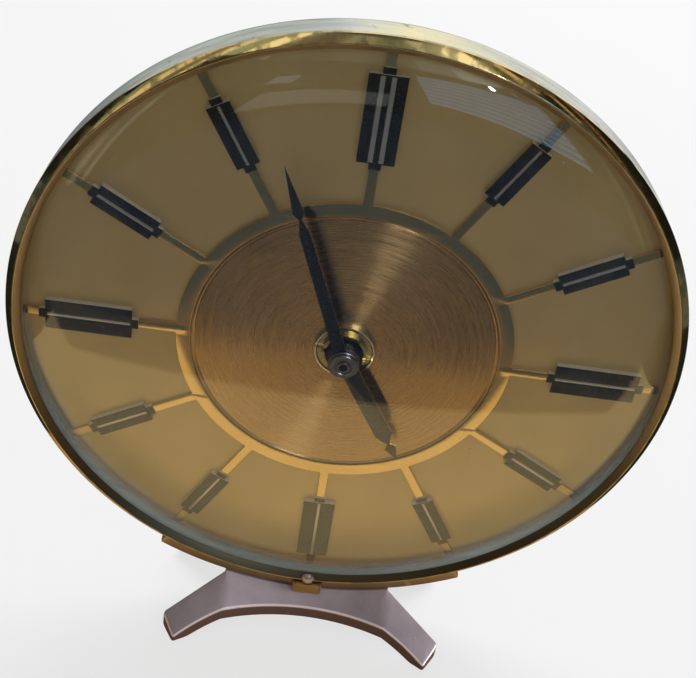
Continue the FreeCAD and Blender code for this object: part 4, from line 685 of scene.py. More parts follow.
# For each material slot of the record, the recipe of its finish and what the recipe is given.
FINISH_RECIPES = {
    # polished_brass: its last two tones are the inner slope's painted shade, from top to bottom.
    "polished_brass": (rolled_lip, (0.72, 0.57, 0.28), (0.42, 0.34, 0.17), (0.44, 0.33, 0.22),
                       (0.14, 0.1, 0.055)),
    "case_brass": (worn_drum, (0.64, 0.65, 0.6), (0.42, 0.44, 0.41), (0.78, 0.69, 0.36)),
    "dial_brass": (satin_dial, (0.61, 0.44, 0.205), (0.53, 0.38, 0.18)),
    "ring_gold": (metal, (0.76, 0.53, 0.235), (0.7, 0.48, 0.2), 0.14, (1500, 1500, 1500), 0.012, 0.03,
                  None, (0.5, 0.45, 0.37)),
    "copper_disc": (brushed_disc, (0.54, 0.345, 0.16), (0.46, 0.285, 0.125)),
    # nut_brass: its last tone is the painted shade on the nut's core.
    "nut_brass": (turned_nut, (0.62, 0.5, 0.24), (0.5, 0.38, 0.16), (0.03, 0.03, 0.035)),
    "black_enamel": (enamel, (0.009, 0.0085, 0.008), 0.24),
    "dial_glass": (clear_glass,),
    "gunmetal": (metal, (0.2, 0.2, 0.23), (0.13, 0.13, 0.155), 0.3),
    "cradle_brass": (metal, (0.28, 0.22, 0.15), (0.2, 0.155, 0.105), 0.38, (400, 2200, 400), 0.15, 0.08,
                     (0.5, 0.38, 0.22)),
    # foot_bronze: its last tone is the pale painted highlight on the foot's upper edges.
    "foot_bronze": (cast_bronze, (0.43, 0.35, 0.385), (0.31, 0.25, 0.275), (0.82, 0.7, 0.72)),
    "stud_metal": (metal, (0.5, 0.42, 0.42), (0.36, 0.3, 0.3), 0.42),
    "steel_zinc": (metal, (0.56, 0.56, 0.55), (0.45, 0.45, 0.46), 0.35),
    "spring_steel": (metal, (0.55, 0.55, 0.54), (0.48, 0.48, 0.47), 0.25),
    "contact_nickel": (metal, (0.62, 0.6, 0.55), (0.52, 0.5, 0.46), 0.28),
    "stator_iron": (metal, (0.4, 0.4, 0.42), (0.3, 0.3, 0.32), 0.4),
    "seat_card": (metal, (0.4, 0.27, 0.12), (0.3, 0.2, 0.09), 0.5),
    "copper_wire": (wound_wire, (0.75, 0.3, 0.12), (0.25, 0.08, 0.03), 0.12 * MM),
    "black_plastic": (moulded, (0.022, 0.022, 0.023), (0.016, 0.016, 0.017), 0.5),
    "grey_plastic": (moulded, (0.19, 0.19, 0.19), (0.15, 0.15, 0.15), 0.48),
    "white_plastic": (moulded, (0.78, 0.77, 0.72), (0.7, 0.69, 0.64), 0.35, 1400.0, 0.1),
    "red_plastic": (moulded, (0.5, 0.06, 0.04), (0.4, 0.045, 0.03), 0.35, 1400.0, 0.1),
    "magnet_grey": (moulded, (0.11, 0.11, 0.12), (0.07, 0.07, 0.08), 0.5),
    "washer_rubber": (moulded, (0.03, 0.03, 0.03), (0.02, 0.02, 0.02), 0.7, 600.0),
    "resin_black": (moulded, (0.012, 0.012, 0.012), (0.018, 0.018, 0.018), 0.15, 80.0, 0.1),
    "board_green": (solder_mask, (0.02, 0.11, 0.045), (0.03, 0.16, 0.06), (0.09, 0.32, 0.12)),
    "cell_jacket": (cell_jacket, (0.03, 0.03, 0.034), (0.55, 0.27, 0.1), (0.6, 0.59, 0.56)),
}
FINISH = {slot: new_finish(slot, *recipe) for slot, recipe in FINISH_RECIPES.items()}


# ================================================================ bezel, case and glass
def smooth_arc(a, middle, b, count):
    """Points on the circle through three points, from a to b."""
    (x1, y1), (x2, y2), (x3, y3) = a, middle, b
    d = 2 * (x1 * (y2 - y3) + x2 * (y3 - y1) + x3 * (y1 - y2))
    s1, s2, s3 = x1 * x1 + y1 * y1, x2 * x2 + y2 * y2, x3 * x3 + y3 * y3
    cx = (s1 * (y2 - y3) + s2 * (y3 - y1) + s3 * (y1 - y2)) / d
    cy = (s1 * (x3 - x2) + s2 * (x1 - x3) + s3 * (x2 - x1)) / d
    start = math.atan2(y1 - cy, x1 - cx)
    end = start + math.remainder(math.atan2(y3 - cy, x3 - cx) - start, TURN)
    t = np.linspace(start, end, count)
    r = math.hypot(x1 - cx, y1 - cy)
    return np.stack([cx + r * np.cos(t), cy + r * np.sin(t)], 1)


def make_bezel():
    """Rolled lip: an inner slope, a narrow crest and an outer slope, each a gently crowned arc, then
    a straight skirt inside the drum."""
    inner_r, crest_r = LIP_R - LIP_WIDTH, LIP_R - LIP_CREST_INSET
    crest_y, back_y = span_of("bezel")
    skirt_r = CASE_R - CASE_WALL - SKIRT_GAP
    front = front_of("case_shell")
    crest_half, crest_drop, crown = 0.16 * MM, 0.05 * MM, 0.02 * MM
    inner = smooth_arc((inner_r, LIP_INNER_Y),
                       (crest_r - 0.93 * MM, (LIP_INNER_Y + crest_y) / 2 - crown),
                       (crest_r - crest_half, crest_y + crest_drop), 13)
    outer = smooth_arc((crest_r + crest_half, crest_y + crest_drop),
                       (crest_r + 1.03 * MM, (LIP_OUTER_Y + crest_y) / 2 - crown),
                       (LIP_R, LIP_OUTER_Y), 15)
    crest = smooth_arc(inner[-1], (crest_r, crest_y), outer[0], 7)[1:-1]
    wall = np.array([[LIP_R, front], [skirt_r, front], [skirt_r, back_y],
                     [skirt_r - SKIRT_WALL, back_y], [skirt_r - SKIRT_WALL, LIP_ROOT_Y],
                     [inner_r, LIP_ROOT_Y]])
    wall = rounded(wall, 0.12 * MM, closed=False)
    return lathe(np.vstack([inner, crest, outer, wall]), 512)


def make_case():
    """Shallow drum: a straight wall, a rounded rear edge and a flat back with a round hole."""
    front, back = span_of("case_shell")
    inner_r = CASE_R - CASE_WALL
    corner = CASE_R - CASE_EDGE_R
    turn = CASE_EDGE_R * (1 - math.sqrt(0.5))
    edge = smooth_arc((CASE_R, back - CASE_EDGE_R), (CASE_R - turn, back - turn), (corner, back), 9)
    return lathe(np.vstack([
        [[inner_r, front], [CASE_R - 0.15 * MM, front], [CASE_R, front + 0.15 * MM]],
        edge, [[CASE_HOLE_R, back], [CASE_HOLE_R, back - CASE_WALL],
               [inner_r, back - CASE_WALL]]]), 384)


def glass_profile(depth, count):
    """One face of the dome, depth inside its front: a nearly flat crown, then a tighter curve to the
    edge. Both are arcs, with one tangent where they meet."""
    flat_r = GLASS_R - GLASS_EDGE_WIDTH
    crown_curve_r = (flat_r ** 2 + GLASS_CENTRE_RISE ** 2) / (2 * GLASS_CENTRE_RISE)
    start = math.asin(flat_r / crown_curve_r)
    end = math.asin(math.sin(start) + GLASS_EDGE_WIDTH / GLASS_EDGE_CURVE_R)
    edge_y = GLASS_EDGE_Y + GLASS_EDGE_CURVE_R * math.cos(end)
    edge_x = GLASS_R - GLASS_EDGE_CURVE_R * math.sin(end)
    crown_y = edge_y - GLASS_EDGE_CURVE_R * math.cos(start) + crown_curve_r * math.cos(start)
    a = np.linspace(0, start, count)
    b = np.linspace(start, end, count)[1:]
    crown_r, curve_r = crown_curve_r - depth, GLASS_EDGE_CURVE_R - depth
    crown = np.stack([crown_r * np.sin(a), crown_y - crown_r * np.cos(a)], 1)
    edge = np.stack([edge_x + curve_r * np.sin(b), edge_y - curve_r * np.cos(b)], 1)
    return np.vstack([crown, edge])


def make_glass():
    """Both faces of the dome, joined by a flat rim that rests on the seat ring."""
    front = glass_profile(0, 24)
    back = glass_profile(GLASS_WALL, 24)
    back = back[back[:, 1] < GLASS_RIM_Y]
    rim = [[GLASS_R, GLASS_RIM_Y], [back[-1, 0], GLASS_RIM_Y]]
    return lathe(np.vstack([front, rim, back[::-1]]), 320, closed=False)


def mark_outer_face(obj):
    """1 on the glass's outer face and 0 elsewhere, for its dust, and a share that grows towards the
    lower edge, for the bluish-grey painted reflection there."""
    co = points_of(obj.data)
    right, up = co[:, 0] - AXIS_X, co[:, 2] - AXIS_Z
    r = np.hypot(right, up)
    front = glass_profile(0, 400)
    height = np.interp(r, front[:, 0], front[:, 1])
    outer = (np.abs(co[:, 1] - FACE_Y - height) < GLASS_WALL / 4).astype(float)
    down = np.clip(-up / np.maximum(r, MM) + 0.25, 0, 1)
    near_rim = np.clip((r - GLASS_R + (4 + 10 * down) * MM) / (8 * MM), 0, 1)
    painted_edge_haze = 0.85 * near_rim ** 1.1 * down ** 0.7
    for name, values in (("outer_face", outer), ("lower_edge", painted_edge_haze)):
        layer = obj.data.attributes.new(name, "FLOAT", "POINT")
        layer.data.foreach_set("value", values)


def make_seat_ring():
    """Flat ring under the glass."""
    inner, ease = GLASS_R - SEAT_RING_WIDTH, 0.1 * MM
    return lathe([[inner + ease, GLASS_RIM_Y], [GLASS_R, GLASS_RIM_Y], [GLASS_R, 0], [inner, 0],
                  [inner, GLASS_RIM_Y + ease]], 256)


# ================================================================ dial
def make_dial():
    """Flat round plate with a hole for the bush and a broken front edge."""
    ease, wall = 0.2 * MM, 0.8 * MM
    return lathe([[HOLE_R, 0], [DIAL_R - ease, 0], [DIAL_R, ease], [DIAL_R, wall], [HOLE_R, wall]], 256)


def make_disc():
    """Brushed disc with a turned groove near its rim and a rounded edge."""
    top = front_of("centre_disc")
    rim = DISC_R - 0.85 * MM
    radii = np.linspace(HOLE_R, rim - 0.05 * MM, 12)
    face = np.stack([radii, np.full(12, top)], 1)
    step = [[rim, top + 0.2 * MM], [rim + 0.08 * MM, top + 0.22 * MM], [rim + 0.4 * MM, top + 0.02 * MM],
            [rim + 0.45 * MM, top], [DISC_R - 0.3 * MM, top], [DISC_R - 0.09 * MM, top + 0.09 * MM],
            [DISC_R, top + 0.3 * MM], [DISC_R, 0], [HOLE_R, 0]]
    return lathe(np.vstack([face, step]), 384)


def is_long(hour):
    return hour % 3 == 0


def marker_span(hour):
    length, margin = (LONG_LENGTH, LONG_FROM_EDGE) if is_long(hour) else (SHORT_LENGTH, SHORT_FROM_EDGE)
    outer = DIAL_R - margin
    return outer - length, outer


def line_offsets(hour):
    return (-TWIN_LINE_OFFSET, TWIN_LINE_OFFSET) if hour == 0 else (0.0,)


def line_width(hour):
    return TWIN_LINE_WIDTH if hour == 0 else LINE_WIDTH


def spider_outline():
    """Outside of the ring with its twelve spokes: an arc, a spoke's side, its end, its other side and
    the next half arc, twelve times round. The roots and the ends of the spokes are rounded."""
    half = SPOKE_WIDTH / 2
    root = math.asin(half / RING_OUTER_R)
    sector = TURN / len(HOURS) / 2
    left = arc_points(RING_OUTER_R, -sector, -root, 12)[:-1]
    right = arc_points(RING_OUTER_R, root, sector, 12)[1:-1]
    corner_y = RING_OUTER_R * math.cos(root)
    spoke = [[-half, corner_y], [-half, SPOKE_END_R], [half, SPOKE_END_R], [half, corner_y]]
    points = np.vstack([left, spoke, right])
    radii = np.zeros(len(points))
    radii[len(left):len(left) + 4] = np.array([0.7, 0.25, 0.25, 0.7]) * MM
    whole = np.vstack([turned(points, hour * 30) for hour in HOURS])
    return rounded(whole, np.tile(radii, len(HOURS)))


def make_spider():
    """Raised ring with spokes, and the bright lines that stand in the markers' slots."""
    hole = arc_points(RING_INNER_R, 0, TURN, 241)[:-1]
    shapes = [plate(spider_outline(), -SPIDER_WALL, 0, 0.1 * MM, [hole])]
    for hour in HOURS:
        inner, outer = marker_span(hour)
        half = line_width(hour) / 2
        for offset in line_offsets(hour):
            line = rectangle(offset - half, offset + half, inner + LINE_MARGIN, outer - LINE_MARGIN)
            shapes.append(plate(turned(line, hour * 30), LINE_TOP, -SPIDER_WALL / 2, 0.08 * MM))
    return together(shapes)


def make_marker(hour):
    """Applied marker: a block with a slot for each line and a lower stub at both ends."""
    inner, outer = marker_span(hour)
    half = (LONG_WIDTH if is_long(hour) else SHORT_WIDTH) / 2
    body = rounded(rectangle(-half, half, inner, outer), 0.2 * MM)
    slots = []
    reach = line_width(hour) / 2 + SLOT_GAP
    for offset in line_offsets(hour):
        slots.append(turned(rectangle(offset - reach, offset + reach, inner + LINE_MARGIN - SLOT_GAP,
                                      outer - LINE_MARGIN + SLOT_GAP), hour * 30))
    shapes = [plate(turned(body, hour * 30), MARKER_TOP, 0, 0.17 * MM, slots)]
    for start in (inner - STUB_LENGTH, outer - LINE_MARGIN / 2):
        stub = rectangle(-STUB_WIDTH / 2, STUB_WIDTH / 2, start, start + STUB_LENGTH + LINE_MARGIN / 2)
        stub = turned(rounded(stub, 0.15 * MM), hour * 30)
        shapes.append(plate(stub, MARKER_TOP + STUB_DROP, 0, 0.15 * MM))
    return together(shapes)


# ================================================================ hands and their fixings
def hand_outline(stations, eye_r):
    """Right side of the blade to its point, the left side back, and the eye's circle the long way."""
    start = math.sqrt(eye_r ** 2 - stations[0, 1] ** 2)
    side = stations.copy()
    side[0] = [start, np.interp(start, stations[:, 0], stations[:, 1])]
    right = side[:, ::-1]
    left = right[:-1][::-1] * [-1, 1]
    root = math.atan2(side[0, 1], start)
    eye = arc_points(eye_r, TURN - root, root, 40)[1:-1]
    return np.vstack([right, left, eye])


def make_hand(stations, eye_r, bore_r, front, clock):
    """Flat blade and eye with a round hole, turned to its place on the dial."""
    hole = arc_points(bore_r, 0, TURN, 49)[:-1]
    outline = hand_outline(stations, eye_r)
    return plate(turned(outline, clock), front, front + HAND_WALL, 0.1 * MM, [hole])


def make_hour_hand():
    """Blade with the collet behind it that sits on the hour tube."""
    front, back = span_of("hour_hand")
    collet = lathe([[HOUR_TUBE_R, front + HAND_WALL], [HOUR_EYE_R, front + HAND_WALL],
                    [HOUR_EYE_R, back - 0.1 * MM], [HOUR_EYE_R - 0.1 * MM, back], [HOUR_TUBE_R, back]], 64)
    return make_hand(HOUR_STATIONS, HOUR_EYE_R, HOUR_TUBE_R, front, HOUR_CLOCK) + collet


def make_washers():
    """Three thin washers with a narrow neck behind each rim."""
    front, back = span_of("hand_washers")
    pitch = (back - front) / WASHER_COUNT
    neck_r, ease = HOUR_EYE_R - 0.6 * MM, 0.06 * MM
    shapes = []
    for k in range(WASHER_COUNT):
        y0 = front + k * pitch
        y1 = y0 + 0.6 * pitch
        shapes.append(lathe([
            [MINUTE_TUBE_R, y0], [HOUR_EYE_R - ease, y0], [HOUR_EYE_R, y0 + ease],
            [HOUR_EYE_R, y1 - ease], [HOUR_EYE_R - ease, y1], [neck_r, y1], [neck_r, y0 + pitch],
            [MINUTE_TUBE_R, y0 + pitch]], 96))
    return together(shapes)


def make_nut():
    """Open round nut: a wider base, a smaller face with a broken edge, and a recess for the tube."""
    front, back = span_of("hand_nut")
    base_r, bore_r = node_radius("hand_nut"), MINUTE_TUBE_R + 0.5 * MM
    face_r, step, ease = base_r - 0.5 * MM, back - 0.5 * MM, 0.12 * MM
    return lathe([
        [MINUTE_TUBE_R, back], [base_r - ease, back], [base_r, back - ease], [base_r, step + ease],
        [base_r - ease, step], [face_r, step], [face_r, front + ease], [face_r - ease, front],
        [bore_r + ease, front], [bore_r, front + ease], [bore_r, front + 0.3 * MM],
        [MINUTE_TUBE_R, front + 0.3 * MM]], 128)


# ================================================================ cradle, stud and foot
def make_cradle():
    """Rounded rectangular section carried along an arc under the drum; both ends shrink a little."""
    front, back = span_of("cradle")
    section = rounded([[CASE_R, front], [CRADLE_R, front], [CRADLE_R, back], [CASE_R, back]], 0.4 * MM)
    ease = np.array([0.5, 0.15, 0.0]) * MM
    tip = np.concatenate([ease, np.zeros(60), ease[::-1]])
    lead = np.array([0.0, 0.15, 0.5]) * MM / CRADLE_R
    angle = np.concatenate([-CRADLE_HALF_ANGLE + lead,
                            np.linspace(-CRADLE_HALF_ANGLE, CRADLE_HALF_ANGLE, 62)[1:-1],
                            CRADLE_HALF_ANGLE - lead[::-1]])
    centre = section.mean(0)
    half = np.abs(section - centre).max(0)
    scale = 1 - tip[:, None, None] / half
    rings = centre + (section[None] - centre) * scale
    right = rings[..., 0] * np.sin(angle)[:, None]
    up = -rings[..., 0] * np.cos(angle)[:, None]
    points = on_dial(right, up, rings[..., 1]).reshape(-1, 3)
    count = len(section)
    quads, uv = grid_faces(len(angle), count, False, True)
    middles = [points[:count].mean(0), points[-count:].mean(0)]
    first = len(points)
    i = np.arange(count)
    last = first - count
    caps = np.vstack([np.stack([np.full(count, first), i, (i + 1) % count], 1),
                      np.stack([np.full(count, first + 1), last + (i + 1) % count, last + i], 1)])
    return Shape(np.vstack([points, middles]), quads, caps, uv)


def make_stud():
    """Domed stud: part of a sphere over a short shank."""
    low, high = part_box("bezel_stud")
    centre = ((low.x + high.x) / 2 - AXIS_X, (low.z + high.z) / 2 - AXIS_Z)
    radius = (high.x - low.x) / 2
    front, back = span_of("bezel_stud")
    rise = 1.4 * MM
    ball = (radius ** 2 + rise ** 2) / (2 * rise)
    a = np.linspace(0, math.asin(radius / ball), 12)
    dome = np.stack([ball * np.sin(a), front + ball * (1 - np.cos(a))], 1)
    shank = [[0.7 * MM, front + rise], [0.7 * MM, back], [0, back]]
    return lathe(np.vstack([dome, shank]), 64, closed=False, centre=centre)


def foot_outline():
    """Plan of the four splayed legs: an arch in front and behind, and a straight waist at each side."""
    rise = FOOT_TIP[1] - FOOT_ARCH_Y
    radius = (FOOT_TIP[0] ** 2 + rise ** 2) / (2 * rise)
    end = math.asin(FOOT_TIP[0] / radius)
    a = np.linspace(-end, end, 49)
    arch = np.stack([radius * np.sin(a), FOOT_ARCH_Y + radius * (1 - np.cos(a))], 1)
    mirror = [1, -1]
    half = np.vstack([arch, [FOOT_OUTER, FOOT_WAIST, FOOT_WAIST * mirror, FOOT_OUTER * mirror]])
    whole = np.vstack([half, -half])
    radii = np.zeros(len(half))
    radii[[0, 48, 49, 52]] = FOOT_CORNER_R
    radii[[50, 51]] = 0.5 * MM
    return rounded(whole, np.tile(radii, 2), steps=5)


def foot_top(x, y):
    """Height of the foot's top over the table: the cradle's curve in the middle, shoulders that fall
    slowly beside it, and an even fall to the front and to the back."""
    inside = np.minimum(np.abs(x), FOOT_SHOULDER_X)
    band = AXIS_Z + FOOT_OVERLAP - np.sqrt(CRADLE_R ** 2 - inside ** 2)
    band = band - FOOT_SIDE_FALL * np.maximum(0, np.abs(x) - FOOT_SHOULDER_X)
    fall = FOOT_SLOPE * np.maximum(0, np.abs(y) - FOOT_FLAT)
    under = AXIS_Z - np.sqrt(CRADLE_R ** 2 - x ** 2)
    return np.minimum(band - fall, under)


def foot_block():
    """The plan's outline as a flat block with rounded upper edges and its top at 0, cut into strips."""
    outline = foot_outline()
    outline = outline if area(outline) > 0 else outline[::-1]
    section = edge_profile(0, FOOT_WALL, FOOT_BEVEL, 4) * [1, -1]
    rows = np.stack([inset(outline, d) for d, _ in section], 1)
    drop = np.broadcast_to(section[None, :, 1:], (*rows.shape[:2], 1))
    points = np.concatenate([rows, drop], 2).reshape(-1, 3)
    quads, _ = grid_faces(len(outline), len(section), True, False)
    mesh = bpy.data.meshes.new("foot_mesh")
    top = list(range(0, len(points), len(section)))
    bottom = [first + len(section) - 1 for first in top]
    mesh.from_pydata(points.tolist(), [], quads.tolist() + [top, bottom[::-1]])
    work = bmesh.new()
    work.from_mesh(mesh)
    cuts = [((x * MM, 0, 0), (1, 0, 0)) for x in FOOT_CUTS_X]
    cuts += [((0, y * MM, 0), (0, 1, 0)) for y in FOOT_CUTS_Y]
    for at, normal in cuts:
        parts = list(work.verts) + list(work.edges) + list(work.faces)
        bmesh.ops.bisect_plane(work, geom=parts, plane_co=at, plane_no=normal, dist=1e-7)
    work.to_mesh(mesh)
    work.free()
    return mesh


def make_foot():
    """Each point of the block is lifted to its share of the height between underside and top, and the
    plan is stretched to the node's extent."""
    mesh = foot_block()
    co = points_of(mesh)
    top_z = foot_top(co[:, 0], co[:, 1])
    low_z = np.maximum(0, top_z - FOOT_WALL)
    wall = top_z - low_z
    share = np.clip(-co[:, 2] / FOOT_WALL, 0, 1)
    near = np.minimum(-co[:, 2], wall)
    depth = np.where(share > 0.99, wall, near)
    foot_low, foot_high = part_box("foot")
    for i in (0, 1):
        half = (foot_high[i] - foot_low[i]) / 2
        co[:, i] = (foot_low[i] + foot_high[i]) / 2 + co[:, i] * half / np.abs(co[:, i]).max()
    co[:, 2] = top_z - depth
    mesh.vertices.foreach_set("co", co.ravel())
    clean(mesh, 35)
    stand_for("foot", mesh)


# ================================================================ all pieces
# Nodes shown as the CAD has them, with their edges broken by this much.
EASED_NODES = {
    "fixing_nut": 0.1 * MM, "centre_bush": 0.1 * MM, "bezel_clip": 0.2 * MM, "rear_cover": 0.2 * MM,
    "battery_door": 0.15 * MM, "battery_door_pin": 0.1 * MM, "setting_knob": 0.12 * MM,
    "rear_cover_screws": 0.12 * MM, "foot_screws": 0.15 * MM, "cradle_screws": 0.1 * MM,
    "minute_arbor": 0.05 * MM, "battery": 0.25 * MM}


def build_pieces():
    piece("bezel", make_bezel())
    piece("case_shell", make_case())
    mark_outer_face(piece("glass", make_glass()))
    piece("glass_seat_ring", make_seat_ring())
    piece("dial_plate", make_dial())
    piece("centre_disc", make_disc())
    piece("hour_ring", make_spider())
    piece("marker_twelve", make_marker(0))
    piece("long_markers", together([make_marker(h) for h in (3, 6, 9)]))
    piece("short_markers", together([make_marker(h) for h in HOURS if not is_long(h)]))
    piece("minute_hand", make_hand(MINUTE_STATIONS, MINUTE_EYE_R, MINUTE_TUBE_R, front_of("minute_hand"),
                                   MINUTE_CLOCK))
    piece("hour_hand", make_hour_hand())
    piece("hand_washers", make_washers())
    piece("hand_nut", make_nut())
    piece("cradle", make_cradle())
    piece("bezel_stud", make_stud())
    make_foot()
    for node, bevel in EASED_NODES.items():
        eased(node, bevel)


def dress_nodes():
    """Every node that stays gets the finish of its material slot."""
    for node, obj in frame["nodes"].items():
        give_finish(obj.data, node)


# ================================================================ camera, floor and light
CAMERA_PLACE = Vector((-12.85, -237.9, 280.05)) * MM
CAMERA_AZIMUTH, CAMERA_ELEVATION, CAMERA_ROLL = (math.radians(a) for a in (-3.234, 36.684, 9.368))
CAMERA_LENS = 60.31


def make_camera():
    """Looks down at the clock from the front, rolled a little."""
    a, e, r = CAMERA_AZIMUTH, CAMERA_ELEVATION, CAMERA_ROLL
    back = Vector((math.sin(a) * math.cos(e), -math.cos(a) * math.cos(e), math.sin(e)))
    right = (-back).cross(Vector((0, 0, 1))).normalized()
    up = right.cross(-back)
    across = right * math.cos(r) + up * math.sin(r)
    upwards = up * math.cos(r) - right * math.sin(r)
    data = bpy.data.cameras.new("camera")
    data.lens = CAMERA_LENS
    data.clip_start, data.clip_end = 0.01, 20
    camera = linked("camera", data)
    turn = Matrix((across, upwards, back)).transposed().to_4x4()
    camera.matrix_world = Matrix.Translation(CAMERA_PLACE) @ turn
    bpy.context.scene.camera = camera


def mirror_rays(tree):
    """1 for rays from the camera, from a mirror-like surface or through glass."""
    path = add(tree, "LightPath").outputs
    first = compute(tree, "MAXIMUM", path["Is Camera Ray"], path["Is Glossy Ray"])
    return compute(tree, "MAXIMUM", first, path["Is Transmission Ray"])


WORLD_LIGHT = (0.3, 0.3, 0.31)
FLOOR_WHITE_SHARE, FLOOR_REACH = 0.7, 4000   # the reach is in millimetres


def make_world():
    """Soft light from all sides; white where it is seen directly or mirrored."""
    world = bpy.data.worlds.new("studio")
    bpy.context.scene.world = world
    world.use_nodes = True
    tree = world.node_tree
    tree.nodes.clear()
    colour = blend(tree, mirror_rays(tree), WORLD_LIGHT, (1.0, 1.0, 1.0))
    shade = add(tree, "Background", {"Color": colour, "Strength": 1.0})
    add(tree, "OutputWorld", {"Surface": shade.outputs[0]})


def stage_sheet(name, corners, finish):
    """Four-cornered piece of the stage; corners are in millimetres."""
    mesh = bpy.data.meshes.new(name + "_mesh")
    mesh.from_pydata([tuple(c * MM for c in corner) for corner in corners], [], [(0, 1, 2, 3)])
    mesh.materials.append(finish)
    obj = linked(name, mesh)
    return obj


def flat_corners(x0, x1, y0, y1, height):
    return [(x0, y0, height), (x1, y0, height), (x1, y1, height), (x0, y1, height)]


def pale_floor(tree):
    """Pale matt floor. For the camera and in mirrors it is mostly white and keeps the shadows."""
    matt = add(tree, "BsdfDiffuse", {"Color": rgb((0.82, 0.82, 0.82))})
    white = add(tree, "Emission", {"Color": rgb((1, 1, 1)), "Strength": 1.0})
    share = compute(tree, "MULTIPLY", mirror_rays(tree), FLOOR_WHITE_SHARE)
    mix = add(tree, "MixShader", {0: share, 1: matt.outputs[0], 2: white.outputs[0]})
    add(tree, "OutputMaterial", {"Surface": mix.outputs[0]})


def make_floor():
    corners = flat_corners(-FLOOR_REACH, FLOOR_REACH, -FLOOR_REACH, FLOOR_REACH, 0)
    stage_sheet("floor", corners, new_finish("pale_floor", pale_floor))


def glow(tree, colour):
    light = add(tree, "Emission", {"Color": rgb(colour), "Strength": 1.0})
    add(tree, "OutputMaterial", {"Surface": light.outputs[0]})


def card(name, corners, colour):
    """Studio card that only mirrors and glass see."""
    obj = stage_sheet(name, corners, new_finish(name, glow, colour))
    obj.visible_camera = obj.visible_diffuse = obj.visible_shadow = False


def tall_card(name, start, end, distance, low, high, colour):
    """Upright card between two directions, in degrees to the right of straight ahead, and between
    two heights."""
    a, b = math.radians(start), math.radians(end)
    left = (distance * math.sin(a), -distance * math.cos(a))
    right = (distance * math.sin(b), -distance * math.cos(b))
    card(name, [(*left, low), (*right, low), (*right, high), (*left, high)], colour)


# Sizes and places of the cards are millimetres, directions are degrees to the right of straight ahead.
PANEL_DISTANCE, PANEL_HEIGHT = 1500, 3300
SCREEN_DISTANCE, SCREEN_HEIGHT, SCREEN_REACH, SCREEN_COUNT = 1400, 1360, 56, 4
WINDOW_DISTANCE, BLIND_SPAN, SLAT_HEIGHT, SLAT_PITCH = 1180, (10, 50), 48, 75
BLACK = (0.015, 0.015, 0.015)
# Panels round the front: where each ends, and its tone.
PANELS = [
    (-120, None), (-72, BLACK), (-68, (0.26, 0.3, 0.25)), (-63, (0.85, 0.72, 0.5)),
    (-58, (0.16, 0.16, 0.15)), (-53.5, (0.95, 0.85, 0.6)), (-46.5, (0.36, 0.44, 0.36)),
    (-45, (0.06, 0.06, 0.05)), (-36, (1.25, 1.15, 0.85)), (-15, (0.2, 0.18, 0.16)),
    (-3, (0.3, 0.3, 0.28)), (12, (0.2, 0.22, 0.17)), (25, (0.5, 0.53, 0.48)),
    (41, (1.35, 1.3, 1.1)), (50, (0.11, 0.12, 0.08)), (55, (0.7, 0.55, 0.3)), (61, BLACK),
    (63, (0.5, 0.4, 0.25)), (68, BLACK), (70, (0.3, 0.18, 0.1)), (120, BLACK)]
# Level cards: from x to x, from y to y, the height and the tone.
LEVEL_CARDS = {
    "gold_card": (-185, 235, -119, -27, 0.6, (0.9, 0.68, 0.35)),
    "brown_card": (-110, 110, -27, 60, 0.6, (0.42, 0.24, 0.11)),
    "edge_card": (-1500, 1500, -155, -119, 0.5, (0.13, 0.12, 0.115)),
    "slate_card": (-1500, 1500, -1500, -155, 0.5, (0.055, 0.08, 0.122)),
    # The near-black card under the clock is painted shade: mirrors show it where the floor lies in the
    # clock's shade.
    "under_shade_card": (-400, 400, -119, 90, 0.4, (0.02, 0.02, 0.02)),
    "side_card_left": (-1500, -400, -119, 900, 0.4, (0.12, 0.13, 0.13)),
    "side_card_right": (400, 1500, -119, 900, 0.4, (0.12, 0.13, 0.13)),
    "back_card_left": (-1500, -60, 90, 1500, 0.4, (0.18, 0.195, 0.21))}


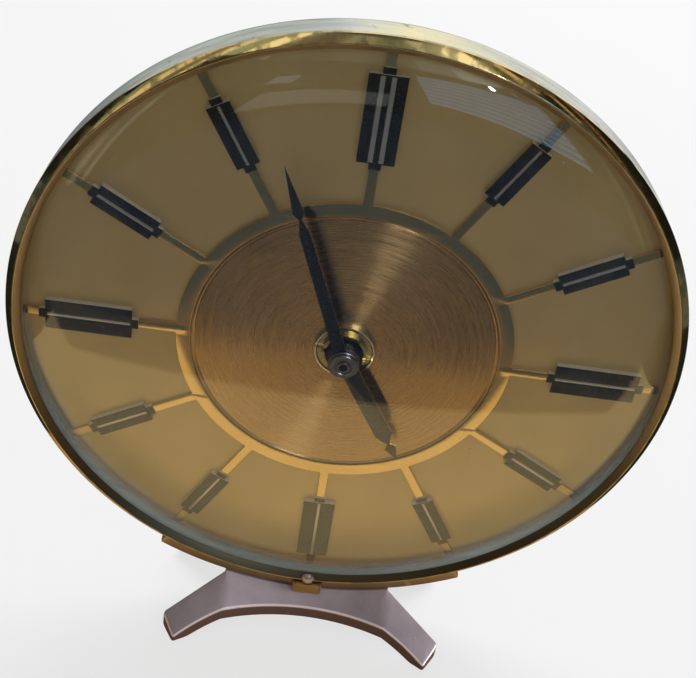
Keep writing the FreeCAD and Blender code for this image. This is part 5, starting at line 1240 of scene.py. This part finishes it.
def make_cards():
    """A warm card lies before the clock and a slate one beyond it. A row of tall panels in several
    tones stands round the front under a dark ceiling, and the rolled lip shows them side by side. A dark
    screen hides their lower parts, and the glass shows a bluish window blind before it."""
    for name, (*place, tone) in LEVEL_CARDS.items():
        card(name, flat_corners(*place), tone)
    card("back_wall_left", [(-1500, 1500, 0), (-120, 1500, 0), (-120, 1500, 2400), (-1500, 1500, 2400)],
         (0.62, 0.65, 0.63))
    card("ceiling_card", flat_corners(-1600, 1600, -1600, 300, PANEL_HEIGHT), (0.1, 0.095, 0.08))
    for (start, _), (end, tone) in zip(PANELS, PANELS[1:]):
        tall_card("panel_%d" % (end + 180), start, end, PANEL_DISTANCE, 0, PANEL_HEIGHT, tone)
    bounds = np.linspace(-SCREEN_REACH, SCREEN_REACH, SCREEN_COUNT + 1)
    for i in range(SCREEN_COUNT):
        tall_card("screen_%d" % i, bounds[i], bounds[i + 1], SCREEN_DISTANCE, 0, SCREEN_HEIGHT,
                  (0.035, 0.035, 0.03))
    for i, low in enumerate(range(400, 1000, SLAT_PITCH)):
        middle, high = low + SLAT_HEIGHT, low + SLAT_PITCH
        tall_card("blind_slat_%d" % i, *BLIND_SPAN, WINDOW_DISTANCE, low, middle, (0.5, 0.85, 1.3))
        tall_card("blind_gap_%d" % i, *BLIND_SPAN, WINDOW_DISTANCE, middle, high, (0.15, 0.3, 0.5))
    tall_card("pane", -22, -16, WINDOW_DISTANCE, 600, 760, (0.55, 0.6, 0.7))


def lamp(name, direction, distance, width, height, power, target=(0, 0, 101), only=(),
         mirrored=True):
    """Rectangular softbox that stands in that direction from the target, in millimetres. With only
    given, it lights just those pieces; mirrors show it unless mirrored is False."""
    data = bpy.data.lights.new(name, "AREA")
    data.shape, data.size, data.size_y, data.energy = "RECTANGLE", width * MM, height * MM, power
    obj = linked(name, data)
    out = Vector(direction).normalized()
    obj.location = (Vector(target) + out * distance) * MM
    obj.rotation_mode = "QUATERNION"
    obj.rotation_quaternion = (-out).to_track_quat("-Z", "Y")
    obj.visible_camera = False
    obj.visible_glossy = mirrored
    if only:
        lit = bpy.data.collections.new(name + "_lights_these")
        for node in only:
            lit.objects.link(bpy.data.objects[node + "_piece"])
        obj.light_linking.receiver_collection = lit


def make_lamps():
    turned_parts = ("centre_disc", "fixing_nut", "hand_washers", "hand_nut")
    lamp("key_softbox", (-0.14, -1.0, 0.16), 1300, 500, 300, 0.2)
    lamp("window", (0.425, -0.625, 0.655), 1450, 26, 60, 0.5)
    lamp("streak_left", (0.30, -0.68, 0.67), 1450, 30, 90, 5, only=turned_parts)
    lamp("streak_right", (0.44, -0.63, 0.65), 1450, 30, 90, 5, only=turned_parts)
    lamp("top_softbox", (0.1, 0.45, 1.0), 1200, 900, 500, 8)
    lamp("back_softbox", (0.5, 1.0, 0.5), 1300, 600, 600, 3.5, mirrored=False)
    lamp("foot_softbox", (0.9, -0.35, 0.3), 400, 200, 150, 1.3, target=(25, 0, 15), only=("foot", "cradle"))


def main():
    dress_nodes()
    build_pieces()
    make_camera()
    make_world()
    make_floor()
    make_cards()
    make_lamps()
    bpy.context.scene.view_settings.view_transform = "Standard"


main()
